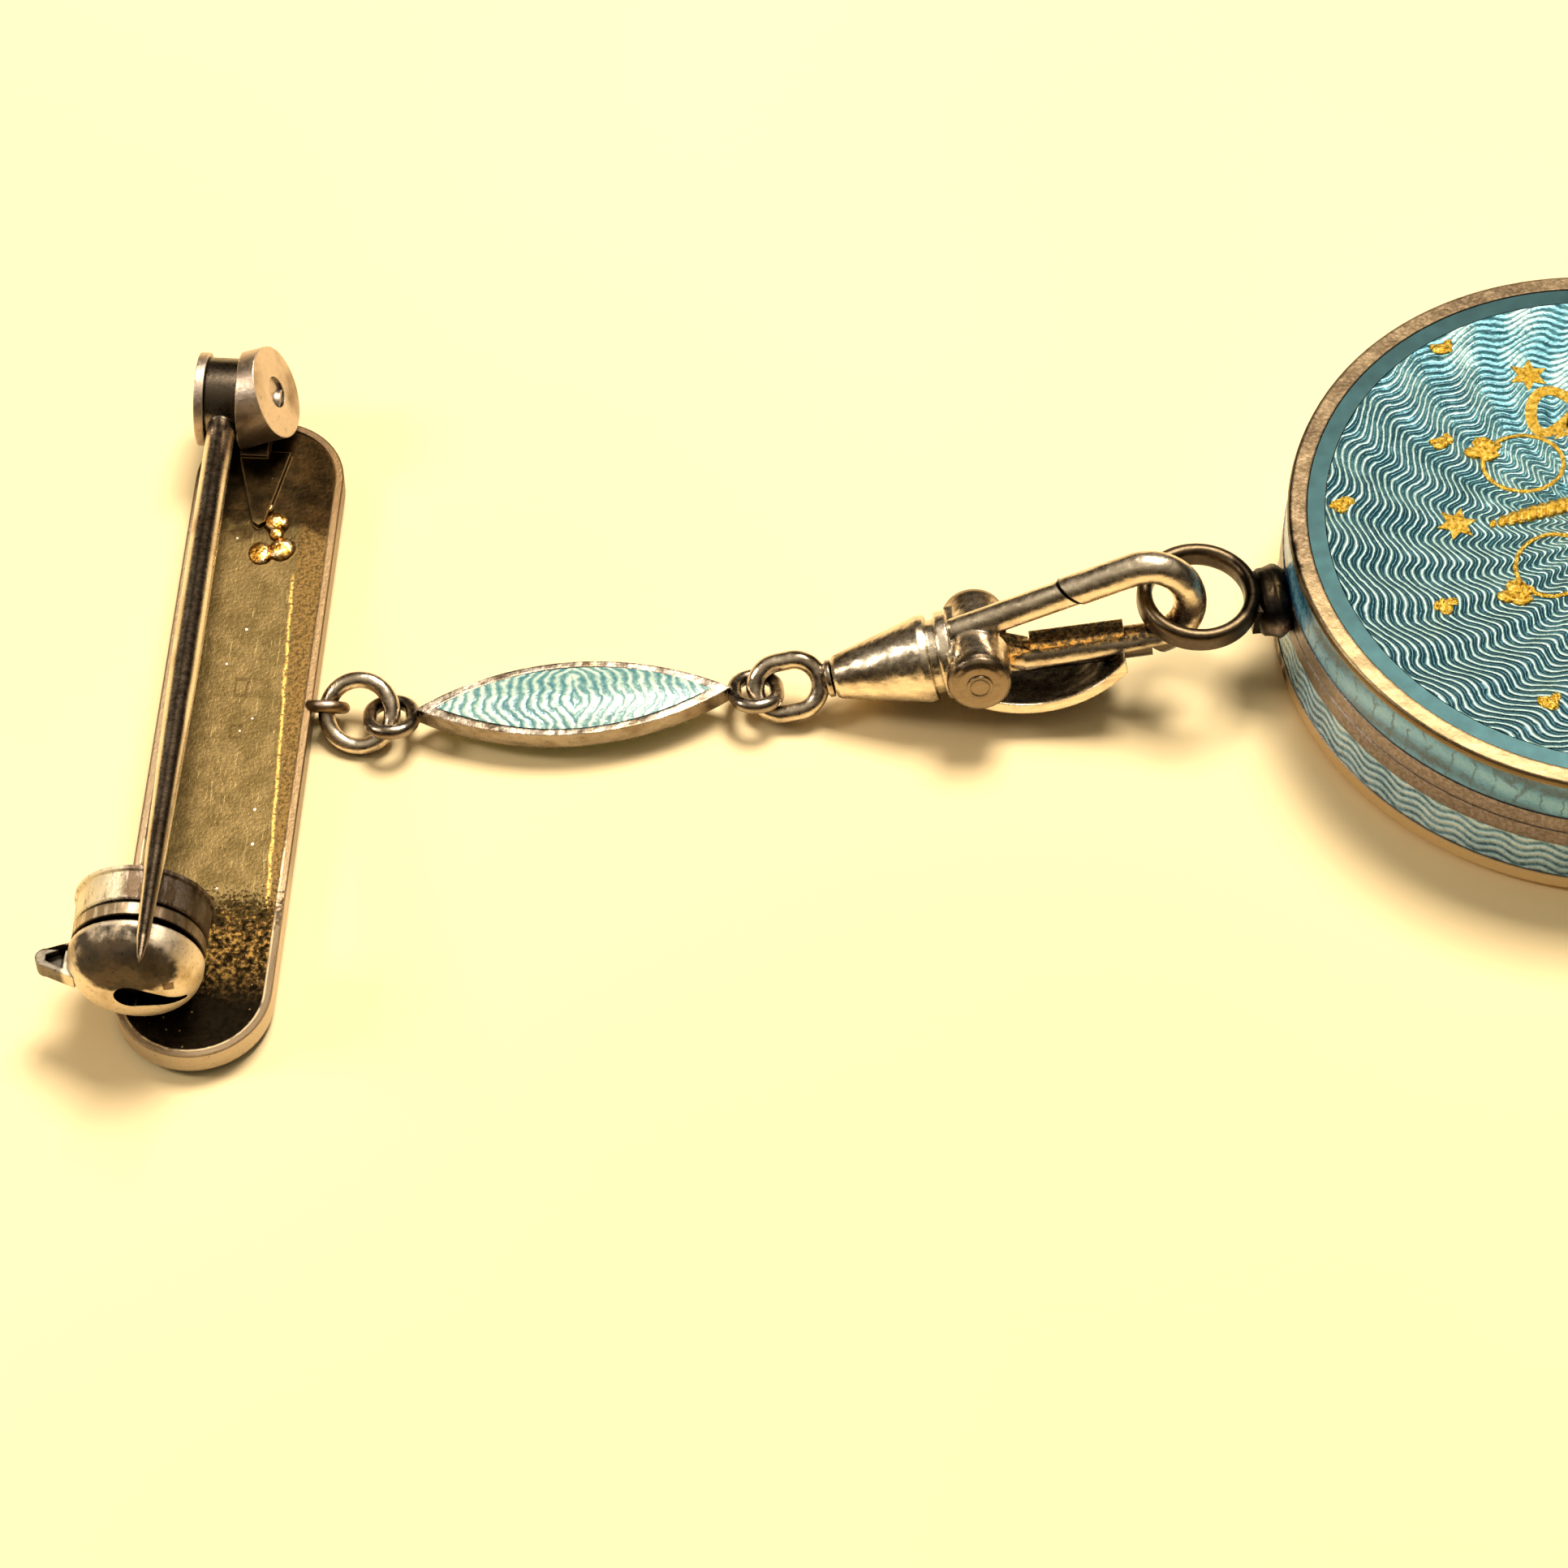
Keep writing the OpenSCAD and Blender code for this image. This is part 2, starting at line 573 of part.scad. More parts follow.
// Eye with the ball and the headed spindle that the ferrule turns on
module swivel_eye() color("#8f7650") place() translate(eye_c) rotate([eye_roll, -clip_pitch, clip_yaw]) {
    oval_ring(eye_r, eye_straight, eye_wire / 2);
    out = eye_straight / 2 + eye_r + eye_wire / 2;
    ferrule_start = neck_len - boss_dist - clip_collar_len - groove_w - ferrule_len;
    spindle_r = 0.42;
    head = ferrule_start + 1.4;
    turned([[out - 0.25, 0], [out - 0.25, 0.5], [out - 0.05, neck_d / 2],
        [ferrule_start - 2 * run_gap, neck_d / 2], [ferrule_start - run_gap, spindle_r + 0.1],
        [ferrule_start, spindle_r], [head, spindle_r],
        [head, spindle_r + 0.25], [head + 0.5, spindle_r + 0.25], [head + 0.5, 0]]);
}

// Ferrule, collar, cross boss, rivet and fixed short arm
module clip_head() color("#c4a474") clip_place() {
    face = -boss_dist;
    groove_end = face - clip_collar_len;
    wide = groove_end - groove_w;
    narrow = wide - ferrule_len;
    r2 = ferrule_d2 / 2;
    spindle_r = 0.42 + run_gap;
    head = narrow + 1.4 - run_gap;
    difference() {
        union() {
            turned([[narrow, 0], [narrow, ferrule_d1 / 2 - 0.1], [narrow + 0.15, ferrule_d1 / 2],
                [wide - 0.3, r2], [wide, r2 - 0.05], [wide + 0.05, r2 - 0.3],
                [groove_end - 0.05, r2 - 0.3], [groove_end, r2 - 0.05], [groove_end + 0.1, r2],
                [face - 0.1, r2], [face, r2 - 0.1], [face, 0]]);
            cross_boss();
            translate([face - 0.2, -boss_len / 2 + 0.9, -boss_d * 0.42])
                cube([boss_dist + 0.2, boss_len - 1.8, boss_d * 0.84]);
            fixed_arm();
        }
        turned([[narrow - 1, 0], [narrow - 1, spindle_r], [head, spindle_r], [head, spindle_r + 0.25],
            [head + 0.5 + 2 * run_gap, spindle_r + 0.25], [head + 0.5 + 2 * run_gap, 0]]);
        tang_slot();
    }
    rotate([90, 0, 0]) cylinder(h = boss_len + 0.12, d = clip_rivet_d, center = true);
}

// Barrel across the clip, with rounded edges
module cross_boss() {
    r = boss_d / 2;
    end = boss_len / 2;
    rotate([90, 0, 0]) rotate_extrude() polygon([[0, -end], [r - 0.45, -end], [r - 0.2, 0.08 - end],
        [r - 0.06, 0.22 - end], [r, 0.45 - end], [r, end - 0.45], [r - 0.06, end - 0.22],
        [r - 0.2, end - 0.08], [r - 0.45, end], [0, end]]);
}

// Line of the upper arms: its height over the rivet at a distance along the clip
function upper_v(a) = hook_rise + hook_bend_r / cos(upper_slope) - (hook_reach - a) * tan(upper_slope);

module fixed_arm() difference() {
    start = -boss_dist - 0.2;
    translate([start, 0, upper_v(start)]) rotate([0, 90 - upper_slope, 0])
        cylinder(h = (seam_a + hook_wire * 1.4 - start) / cos(upper_slope), d = arm_wire);
    seam_side(1);
}

// Everything on one side of the slanting seam between the upper arms
module seam_side(side) translate([seam_a, 0, upper_v(seam_a)]) rotate([0, seam_slant, 0])
    translate([0, 0, side * (hook_reach / 2 - seam_gap / 2)])
        cube([1.4 * hook_reach, 4 * hook_wire, hook_reach], center = true);

// Room for the hook's eye and its swing
module tang_slot() {
    hook_eye_r = clip_rivet_d / 2 + hook_eye_wall;
    eye = hook_eye_r + 2 * run_gap;
    side_plate(slot_w) union() {
        circle(eye);
        polygon([[-eye, 0], [-eye, -boss_d * 0.75], [boss_d * 0.75, -boss_d * 0.95],
            [boss_d * 0.88, hook_wire / 2],
            [hook_wire / 4, eye * 0.9]]);
    }
}

module clip_hook() color("#b08d5c") clip_place() {
    tang_t = slot_w - 2 * run_gap;
    hook_eye_r = clip_rivet_d / 2 + hook_eye_wall;
    lower_start = [hook_reach - hook_bend_r * sin(lower_slope) - lower_len * cos(lower_slope),
        hook_rise - hook_bend_r * cos(lower_slope) + lower_len * sin(lower_slope)];
    r = hook_wire / 2;
    difference() {
        union() {
            side_plate(tang_t) union() {
                circle(hook_eye_r);
                polygon([[hook_eye_r * 0.38, hook_eye_r * 0.88],
                    [lower_start.x + 0.3, lower_start.y + r * 0.8],
                    [lower_start.x + 0.2, lower_start.y - r * 0.8],
                    [-hook_eye_r * 0.38, -hook_eye_r * 0.88]]);
            }
            translate([lower_start.x, 0, lower_start.y]) rotate([0, 90 + lower_slope, 0]) {
                cylinder(h = lower_len, r = r);
                translate([0, 0, -0.7]) cylinder(h = 0.7, r1 = tang_t / 2, r2 = r);
            }
            difference() {
                union() {
                    translate([hook_reach, 0, hook_rise]) rotate([90, 0, 0])
                        rotate([0, 0, -90 - lower_slope])
                        rotate_extrude(angle = 180 + lower_slope + upper_slope)
                            translate([hook_bend_r, 0]) circle(r);
                    upper_start = hook_reach - hook_bend_r * sin(upper_slope);
                    translate([upper_start, 0, upper_v(upper_start)]) rotate([0, -90 - upper_slope, 0]) {
                        cylinder(h = upper_start - seam_a + 1.5, r = r);
                        cylinder(h = 0.6, r = r * 0.7, center = true);
                    }
                }
                seam_side(-1);
            }
            leaf();
            translate([lower_start.x + 0.3, 0, lower_start.y]) rotate([0, lower_slope, 0])
                translate([0, -strip_w / 2, r - strip_t * 0.55]) cube([strip_len, strip_w, strip_t]);
        }
        rotate([90, 0, 0]) cylinder(h = boss_len, d = clip_rivet_d + 2 * run_gap, center = true);
    }
}

// Curved thumb leaf below the lower arm
module leaf() side_plate(leaf_w) translate([2.7, leaf_curve - leaf_drop]) intersection() {
    difference() {
        circle(leaf_curve, $fn = 96);
        circle(leaf_curve - leaf_t, $fn = 96);
    }
    translate([-3, -leaf_curve - 1]) square([6.4, leaf_curve * 0.5 + 1]);
}

module case_metal() color("#a98658") {
    inner = case_r - enamel_t;
    cavity = crystal_r + set_gap;
    top_in = case_r - back_rim;
    floor_z = case_h - enamel_t;
    seam = mid_low + mid_h / 2;
    band_top = mid_high + upper_band_h;
    watch_place() rotate_extrude($fn = 128) polygon([[crystal_r - 0.25, 0], [case_r - 0.45, 0],
        [case_r, 0.3], [case_r, bezel_h], [inner, bezel_h], [inner, mid_low], [case_r, mid_low],
        [case_r, seam - 0.05], [case_r - 0.08, seam - 0.03], [case_r - 0.08, seam + 0.03],
        [case_r, seam + 0.05], [case_r, mid_high], [inner, mid_high], [inner, band_top],
        [case_r, band_top], [case_r - 0.05, case_h - 0.08], [case_r - 0.15, case_h], [top_in, case_h],
        [top_in, floor_z], [0, floor_z], [0, floor_z - 0.35], [cavity - 0.7, floor_z - 0.35],
        [cavity - 0.7, dial_high + set_gap], [cavity, dial_high + set_gap],
        [cavity, crystal_low - set_gap], [crystal_r - 0.25, crystal_low - set_gap]]);
    place() translate(bow_c) bow();
    lug_start = -case_r - bow_gap - bow_w / 2;
    watch_place() translate([lug_start, -bow_lug_w / 2, seam - bow_lug_h / 2])
        cube([bow_gap + bow_w / 2 + enamel_t * 0.6, bow_lug_w, bow_lug_h]);
}

module bow() rotate_extrude() translate([bow_r, 0]) {
    straight = bow_h - bow_w;
    square([bow_w, straight], center = true);
    for (end = [-1, 1]) translate([0, end * straight / 2]) circle(d = bow_w);
}

module band_enamel(low, height) watch_place() rotate_extrude($fn = 128)
    translate([case_r - enamel_t + set_gap, low + set_gap])
        square([enamel_t - set_gap - 0.04, height - 2 * set_gap]);

module upper_band_enamel() color("#4f8f9c") band_enamel(mid_high, upper_band_h);

module lower_band_enamel() color("#8fbdb9") band_enamel(bezel_h, lower_band_h);

module back_ring_enamel() color("#2f6573") watch_place() rotate_extrude($fn = 128)
    translate([case_r - back_rim - back_ring + set_gap, case_h - enamel_t + set_gap])
        square([back_ring - 2 * set_gap, enamel_t - set_gap - 0.03]);

module back_enamel() color("#5f9caa") watch_place() {
    r = case_r - back_rim - back_ring;
    low = case_h - enamel_t + set_gap;
    edge = case_h - 0.03;
    arc = [for (i = [8:-1:0]) [r * i / 8, edge + back_dome * (1 - i * i / 64)]];
    rotate_extrude($fn = 128) polygon(concat([[0, low], [r, low]], arc));
}

module crystal() color("#e6eef0", 0.4) watch_place()
    translate([0, 0, crystal_low]) cylinder(h = crystal_t, r = crystal_r, $fn = 128);

module dial() color("#f2efe4") watch_place() {
    post_low = minute_low - hand_space / 2;
    translate([0, 0, dial_low]) cylinder(h = dial_t, r = crystal_r, $fn = 128);
    translate([0, 0, post_low]) cylinder(h = dial_low - post_low, d = hand_post_d);
}

module hand(low, length, hub_r) watch_place() translate([0, 0, low]) linear_extrude(hand_t) difference() {
    union() {
        circle(hub_r);
        polygon([[0, -hub_r * 0.5], [length * 0.8, -hub_r * 0.6], [length, 0], [length * 0.8, hub_r * 0.6],
            [0, hub_r * 0.5]]);
    }
    circle(hand_post_d / 2 + run_gap);
}

module hour_hand() color("#1d2a3a") hand(hour_low, hour_len, hour_hub_r);

module minute_hand() color("#1d2a3a") hand(minute_low, minute_len, minute_hub_r);

bar_metal();
bar_enamel();
pin_stem();
catch_sleeve();
jump_ring();
link_metal();
link_enamel_top();
link_enamel_bottom();
swivel_eye();
clip_head();
clip_hook();
case_metal();
back_enamel();
back_ring_enamel();
upper_band_enamel();
lower_band_enamel();
crystal();
dial();
hour_hand();
minute_hand();
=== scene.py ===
"""Finishes for an enamelled bar brooch with a short chain, a swivel clip and a pendant watch."""
from math import atan2, cos, pi, radians, sin

import bmesh
import bpy
from mathutils import Euler, Matrix, Vector


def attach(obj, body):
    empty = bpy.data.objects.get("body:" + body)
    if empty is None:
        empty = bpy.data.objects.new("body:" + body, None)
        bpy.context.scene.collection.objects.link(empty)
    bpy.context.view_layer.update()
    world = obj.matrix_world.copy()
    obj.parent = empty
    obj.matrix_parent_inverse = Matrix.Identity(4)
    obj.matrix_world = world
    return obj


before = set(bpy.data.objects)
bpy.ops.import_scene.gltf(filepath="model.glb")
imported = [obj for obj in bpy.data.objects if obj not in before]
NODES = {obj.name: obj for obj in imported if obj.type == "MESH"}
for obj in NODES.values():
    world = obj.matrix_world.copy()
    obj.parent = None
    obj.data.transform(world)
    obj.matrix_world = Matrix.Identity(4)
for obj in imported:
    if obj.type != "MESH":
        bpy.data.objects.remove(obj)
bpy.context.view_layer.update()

bl_info = {
    "name": "Chatelaine watch pin",
    "version": (1, 0, 0),
    "blender": (4, 5, 0),
    "location": "3D View > Sidebar > Watch pin",
    "description": "Finishes the packed chatelaine watch pin and sets its stage",
    "category": "Object",
}

MM = 0.001
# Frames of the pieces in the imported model: a place in millimetres and a turn in degrees
BAR = ((-32.6987, -1.6376, 0.0), (0.0, 0.0, -3.2))
PIN = ((-33.8967, 14.5545, 3.4), (-8.99, 0.0, -1.2))
LINK = ((-18.2855, -0.4476, 1.3), (0.0, 0.0, 5.0))
CLIP = ((-1.2130, 1.1283, 3.1460), (-18.0, -12.0, 5.5))
WATCH = ((25.6251, 4.4309, 0.0), (0.0, 0.0, 6.2))
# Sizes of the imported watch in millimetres: its side, the rise of its domed back, and its dial, face down
CASE_RADIUS = 13.8
BACK_EDGE = 7.47
BACK_DOME = 0.2
BACK_REACH_SQUARED = 148.8
DIAL_FACE = 1.885
FIGURE_RADIUS = 8.6
TRACK_RADIUS = 10.9


def matrix_of(place):
    """The place of a piece as a matrix, in metres."""
    where, turn = place
    return Matrix.Translation(Vector(where) * MM) @ Euler([radians(a) for a in turn]).to_matrix().to_4x4()


# ---------------------------------------------------------------- sizes and colours

class BarLooks(bpy.types.PropertyGroup):
    gilt: bpy.props.StringProperty(name="Gilt",
                                   description="Colour of the worn gilt back plate, as sRGB hex",
                                   default="6B5938")
    line_width: bpy.props.FloatProperty(name="Bright line",
                                        description="Width of the bright line along the plate",
                                        default=0.1 * MM, min=0, unit="LENGTH", subtype="DISTANCE")
    tarnish_from: bpy.props.FloatProperty(
        name="Tarnish from",
        description="Distance from the middle of the bar where the black tarnish starts", default=8.6 * MM,
        min=0, unit="LENGTH", subtype="DISTANCE")
    blob_radius: bpy.props.FloatProperty(name="Solder blob",
                                         description="Radius of a blob of solder by the hinge",
                                         default=0.55 * MM, min=0, unit="LENGTH", subtype="DISTANCE")


class ChainLooks(bpy.types.PropertyGroup):
    silver: bpy.props.StringProperty(name="Silver", description="Colour of the clean silver, as sRGB hex",
                                     default="E3D3BC")
    tarnish: bpy.props.StringProperty(name="Tarnish", description="Colour of the tarnish, as sRGB hex",
                                      default="120C06")
    turquoise: bpy.props.StringProperty(name="Turquoise",
                                        description="Colour of the link's enamel, as sRGB hex",
                                        default="84AAA2")
    cut_spacing: bpy.props.FloatProperty(name="Cuts",
                                         description="Spacing of the engine turning under the enamel",
                                         default=0.46 * MM, min=0, unit="LENGTH", subtype="DISTANCE")


class WatchLooks(bpy.types.PropertyGroup):
    teal: bpy.props.StringProperty(name="Teal", description="Colour of the enamel on the back, as sRGB hex",
                                   default="417B87")
    gold: bpy.props.StringProperty(name="Gold", description="Colour of the gold foil, as sRGB hex",
                                   default="E2B23C")
    wave_count: bpy.props.IntProperty(name="Waves", description="Waves in one turn of the engine turning",
                                      default=24, min=3)
    wave_spacing: bpy.props.FloatProperty(name="Wave spacing", description="Distance between two cut lines",
                                          default=0.34 * MM, min=0, unit="LENGTH", subtype="DISTANCE")
    wave_height: bpy.props.FloatProperty(name="Wave height",
                                         description="Height of the waves in the cut lines",
                                         default=0.26 * MM, min=0, unit="LENGTH", subtype="DISTANCE")
    foil_rise: bpy.props.FloatProperty(name="Foil rise",
                                       description="Rise of the gold foil over the enamel",
                                       default=0.05 * MM, min=0, unit="LENGTH", subtype="DISTANCE")


class StageLooks(bpy.types.PropertyGroup):
    floor: bpy.props.StringProperty(name="Floor", description="Colour of the floor, as sRGB hex",
                                    default="FFE7B5")
    key_power: bpy.props.FloatProperty(name="Main light", description="Power of the main light",
                                       default=5.9, min=0, unit="POWER")
    fill_power: bpy.props.FloatProperty(name="Second light", description="Power of the light from the left",
                                        default=0.35, min=0, unit="POWER")


# ---------------------------------------------------------------- materials

def linear(code):
    """An sRGB hex colour as linear RGBA."""
    parts = [int(code[i:i + 2], 16) / 255 for i in (0, 2, 4)]
    return tuple(c / 12.92 if c <= 0.04045 else ((c + 0.055) / 1.055) ** 2.4 for c in parts) + (1.0,)


# Settings that many nodes share: a smooth step from one value to another, and a mix of two colours
SMOOTH = {"interpolation_type": "SMOOTHSTEP"}
COLOURS = {"data_type": "RGBA"}


def put(tree, kind, *values, stops=(), **settings):
    """Adds a node, or takes one that is there, and gives it its settings, its ramp's stops and its sockets.

    Values, hex colours or nodes fill the sockets in their order, or by name where a dict holds them."""
    node = tree.nodes.new("ShaderNode" + kind) if isinstance(kind, str) else kind
    for name, value in settings.items():
        setattr(node, name, value)
    for i, (at, colour) in enumerate(stops):
        element = node.color_ramp.elements[i] if i < 2 else node.color_ramp.elements.new(at)
        element.position = at
        element.color = linear(colour)
    sockets = [socket for socket in node.inputs if socket.enabled]
    pairs = []
    for socket, value in zip(sockets, values):
        if isinstance(value, dict):
            pairs += [(next(s for s in sockets if s.name == name), given) for name, given in value.items()]
        else:
            pairs.append((socket, value))
    for socket, value in pairs:
        if isinstance(value, bpy.types.Node):
            value = next(s for s in value.outputs if s.enabled)
        if isinstance(value, bpy.types.NodeSocket):
            tree.links.new(value, socket)
        else:
            socket.default_value = linear(value) if isinstance(value, str) else value
    return node


def new_finish(name, place=((0.0, 0.0, 0.0), (0.0, 0.0, 0.0)), **shader):
    """A new material, its nodes and its shader, and the coordinates of a piece in millimetres."""
    material = bpy.data.materials.new(name)
    material.use_nodes = True
    tree = material.node_tree
    surface = put(tree, tree.nodes["Principled BSDF"],
                  {socket.replace("_", " "): value for socket, value in shader.items()})
    where, turn = place
    source = put(tree, "TexCoord")
    at = put(tree, "Mapping", {"Vector": source.outputs["Object"], "Location": Vector(where) * MM,
                               "Rotation": [radians(a) for a in turn], "Scale": (MM, MM, MM)},
             vector_type="TEXTURE")
    return material, tree, surface, at


def round_edges(tree, radius):
    """The normal rounded over the edges, and how far it agrees with the flat one: 1 away from edges."""
    soft = put(tree, "Bevel", {"Radius": radius}, samples=4)
    flat = put(tree, "NewGeometry").outputs["Normal"]
    return soft, put(tree, "VectorMath", soft, flat, operation="DOT_PRODUCT").outputs["Value"]


def patina(tree, surface, at, clean, toned, black, toned_share, black_share, patch, rough=(0.14, 0.34),
           dent=0.6):
    """The colour of silver with soft warm toning, black grime in corners and pits, and bright worn edges.

    It gives the shader dents and fine wear too. patch is the width of a patch of toning in millimetres."""
    broad = put(tree, "TexNoise", {"Vector": at, "Scale": 1 / patch, "Detail": 3.0, "Roughness": 0.55})
    tone = put(tree, "MapRange", broad, 0.6 - 0.4 * toned_share, 0.95 - 0.4 * toned_share, **SMOOTH)
    colour = put(tree, "Mix", tone, clean, toned, **COLOURS)
    spots = put(tree, "TexNoise", {"Vector": at, "Scale": 3.6, "Detail": 6.0, "Roughness": 0.65})
    colour = put(tree, "Mix", put(tree, "MapRange", spots, 0.56, 0.74, 0.0, 0.6 * black_share, **SMOOTH),
                 colour, black, **COLOURS)
    # Worn edges, found where the rounded normal leaves the flat one
    soft, agree = round_edges(tree, 0.12 * MM)
    colour = put(tree, "Mix", put(tree, "MapRange", agree, 0.97, 0.85, 0.0, 0.6, **SMOOTH), colour,
                 "FFF3DC", **COLOURS)
    # Grime gathers where two surfaces face each other within half a millimetre
    hollow = put(tree, "AmbientOcclusion", {"Distance": 0.55 * MM}, samples=6)
    open_air = put(tree, "Math", spots, 0.5, hollow.outputs["AO"], operation="MULTIPLY_ADD")
    colour = put(tree, "Mix",
                 put(tree, "MapRange", open_air, 0.85 + 0.2 * black_share, 0.5 + 0.2 * black_share,
                     **SMOOTH), colour, black, **COLOURS)
    gloss = put(tree, "MapRange", spots, 0.3, 0.7, *rough)
    put(tree, surface, {"Roughness": gloss})
    # Shallow dents from handling, 1 to 2 mm wide, and marks about 0.05 mm wide
    dents = put(tree, "TexNoise", {"Vector": at, "Scale": 0.75, "Detail": 2.0, "Roughness": 0.5})
    dented = put(tree, "Bump", {"Height": dents, "Strength": dent, "Distance": 0.3 * MM, "Normal": soft})
    grain = put(tree, "TexNoise", {"Vector": at, "Scale": 8.0, "Detail": 3.0, "Roughness": 0.6})
    bump = put(tree, "Bump", {"Height": grain, "Strength": 0.3, "Distance": 0.02 * MM, "Normal": dented})
    put(tree, surface, {"Normal": bump})
    return colour


def worn_gilt_silver(looks):
    """Gilt silver sheet, filed flat and worn: dull khaki gold, fine scratches, and black at its ends."""
    # In millimetres: middle and half sizes of the punch marks, start of the round ends, plate and rim
    marks = ((0.12, 1.98, 0.3, 0.5), (0.16, -0.32, 0.26, 0.36))
    round_end, plate_side, rim_inside, rim_top = 13.3, 2.85, 2.93, 1.46
    material, tree, surface, at = new_finish("gilt_silver_worn_flat", BAR, Metallic=1.0)
    x, y, z = put(tree, "SeparateXYZ", at).outputs
    cloud = put(tree, "TexNoise", {"Vector": at, "Scale": 1.1, "Detail": 5.0, "Roughness": 0.6})
    grit = put(tree, "TexNoise", {"Vector": at, "Scale": 6.5, "Detail": 4.0, "Roughness": 0.7})
    gilt = put(tree, "Mix", put(tree, "MapRange", cloud, 0.34, 0.66, **SMOOTH), "564729", looks.gilt,
               **COLOURS)
    # Filing and wear scratches about 0.03 mm wide, nearly along the bar
    slant = put(tree, "Mapping", {"Vector": at, "Rotation": (0, 0, radians(24)), "Scale": (9.0, 0.5, 1.0)})
    lines = put(tree, "TexNoise", {"Vector": slant, "Scale": 1.0, "Detail": 3.0, "Roughness": 0.7})
    gilt = put(tree, "Mix", put(tree, "MapRange", lines, 0.6, 0.7, 0.0, 0.3, **SMOOTH), gilt, "B39F6E",
               **COLOURS)
    specks = put(tree, "TexVoronoi", {"Vector": at, "Scale": 0.8, "Randomness": 1.0})
    gilt = put(tree, "Mix", put(tree, "MapRange", specks.outputs["Distance"], 0.06, 0.03, **SMOOTH), gilt,
               "FFF6DC", **COLOURS)
    # The bright line runs from the hinge to the catch and drifts away from the pin
    drift = put(tree, "Math", y, -0.054, 2.05, operation="MULTIPLY_ADD")
    wobble = put(tree, "Math", cloud, 0.35, -0.17, operation="MULTIPLY_ADD")
    side = put(tree, "Math", put(tree, "Math", x, drift, operation="SUBTRACT"), wobble, operation="ADD")
    half = looks.line_width / MM / 2
    inside = put(tree, "Math", put(tree, "MapRange", y, 8.4, 7.4, **SMOOTH),
                 put(tree, "MapRange", y, -10.0, -8.0, **SMOOTH), operation="MULTIPLY")
    brown = put(tree, "Mix", put(tree, "MapRange", grit, 0.36, 0.62, **SMOOTH), "3C2C15", "735830",
                **COLOURS)
    gilt = put(tree, "Mix", put(tree, "MapRange", side, 0.0, 0.25, 0.0, 0.8, **SMOOTH), gilt, brown,
               **COLOURS)
    streak = put(tree, "MapRange", put(tree, "Math", side, operation="ABSOLUTE"), half + 0.06, half - 0.06,
                 0.0, 0.9, **SMOOTH)
    broken = put(tree, "Math", inside, put(tree, "MapRange", grit, 0.4, 0.5, **SMOOTH),
                 operation="MULTIPLY")
    gilt = put(tree, "Mix", put(tree, "Math", streak, broken, operation="MULTIPLY"), gilt, "D8AC5C",
               **COLOURS)
    # Two plain punch marks: frames pressed into the plate
    pressed = None
    for mark_x, mark_y, half_x, half_y in marks:
        across = put(tree, "Math", put(tree, "Math", x, mark_x, operation="SUBTRACT"), half_x,
                     operation="DIVIDE")
        along = put(tree, "Math", put(tree, "Math", y, mark_y, operation="SUBTRACT"), half_y,
                    operation="DIVIDE")
        reach = put(tree, "Math", put(tree, "Math", across, operation="ABSOLUTE"),
                    put(tree, "Math", along, operation="ABSOLUTE"), operation="MAXIMUM")
        groove = put(tree, "Math", reach, 0.85, 0.17, operation="COMPARE")
        pressed = groove if pressed is None else put(tree, "Math", pressed, groove, operation="MAXIMUM")
    gilt = put(tree, "Mix", put(tree, "Math", pressed, 0.55, operation="MULTIPLY"), gilt, "3E3018",
               **COLOURS)
    # Brown soot round the hinge, black granular tarnish with gold grains at the other end
    sooty = put(tree, "Math", cloud, 4.5, put(tree, "Math", y, 2.2, operation="SUBTRACT"),
                operation="MULTIPLY_ADD")
    plate = put(tree, "Mix", put(tree, "MapRange", sooty, 9.6, 11.2, 0.0, 0.93, **SMOOTH), gilt,
                put(tree, "Mix", put(tree, "MapRange", cloud, 0.35, 0.75, **SMOOTH), "080503", "30210F",
                    **COLOURS), **COLOURS)
    start = -looks.tarnish_from / MM
    low = put(tree, "Math", grit, 6.0, put(tree, "Math", y, 3.0, operation="SUBTRACT"),
              operation="MULTIPLY_ADD")
    crust = put(tree, "MapRange", low, start, start - 1.6, 0.0, 0.97, **SMOOTH)
    grains = put(tree, "TexNoise", {"Vector": at, "Scale": 4.4, "Detail": 5.0, "Roughness": 0.75})
    gold_zone = put(tree, "MapRange", y, -14.0, -11.0, **SMOOTH)
    gold = put(tree, "Math", put(tree, "MapRange", grains, 0.52, 0.6, 0.0, 0.9, **SMOOTH), gold_zone,
               operation="MULTIPLY")
    soil = put(tree, "Mix", put(tree, "MapRange", grains, 0.42, 0.52, **SMOOTH), "0A0805",
               put(tree, "Mix", gold_zone, "1A140D", "5A4424", **COLOURS), **COLOURS)
    plate = put(tree, "Mix", crust, plate, put(tree, "Mix", gold, soil, "C99B50", **COLOURS), **COLOURS)
    glint = put(tree, "TexVoronoi", {"Vector": at, "Scale": 2.4, "Randomness": 1.0})
    plate = put(tree, "Mix",
                put(tree, "Math", crust,
                    put(tree, "MapRange", glint.outputs["Distance"], 0.14, 0.08, 0.0, 0.8, **SMOOTH),
                    operation="MULTIPLY"), plate, "A08A62", **COLOURS)
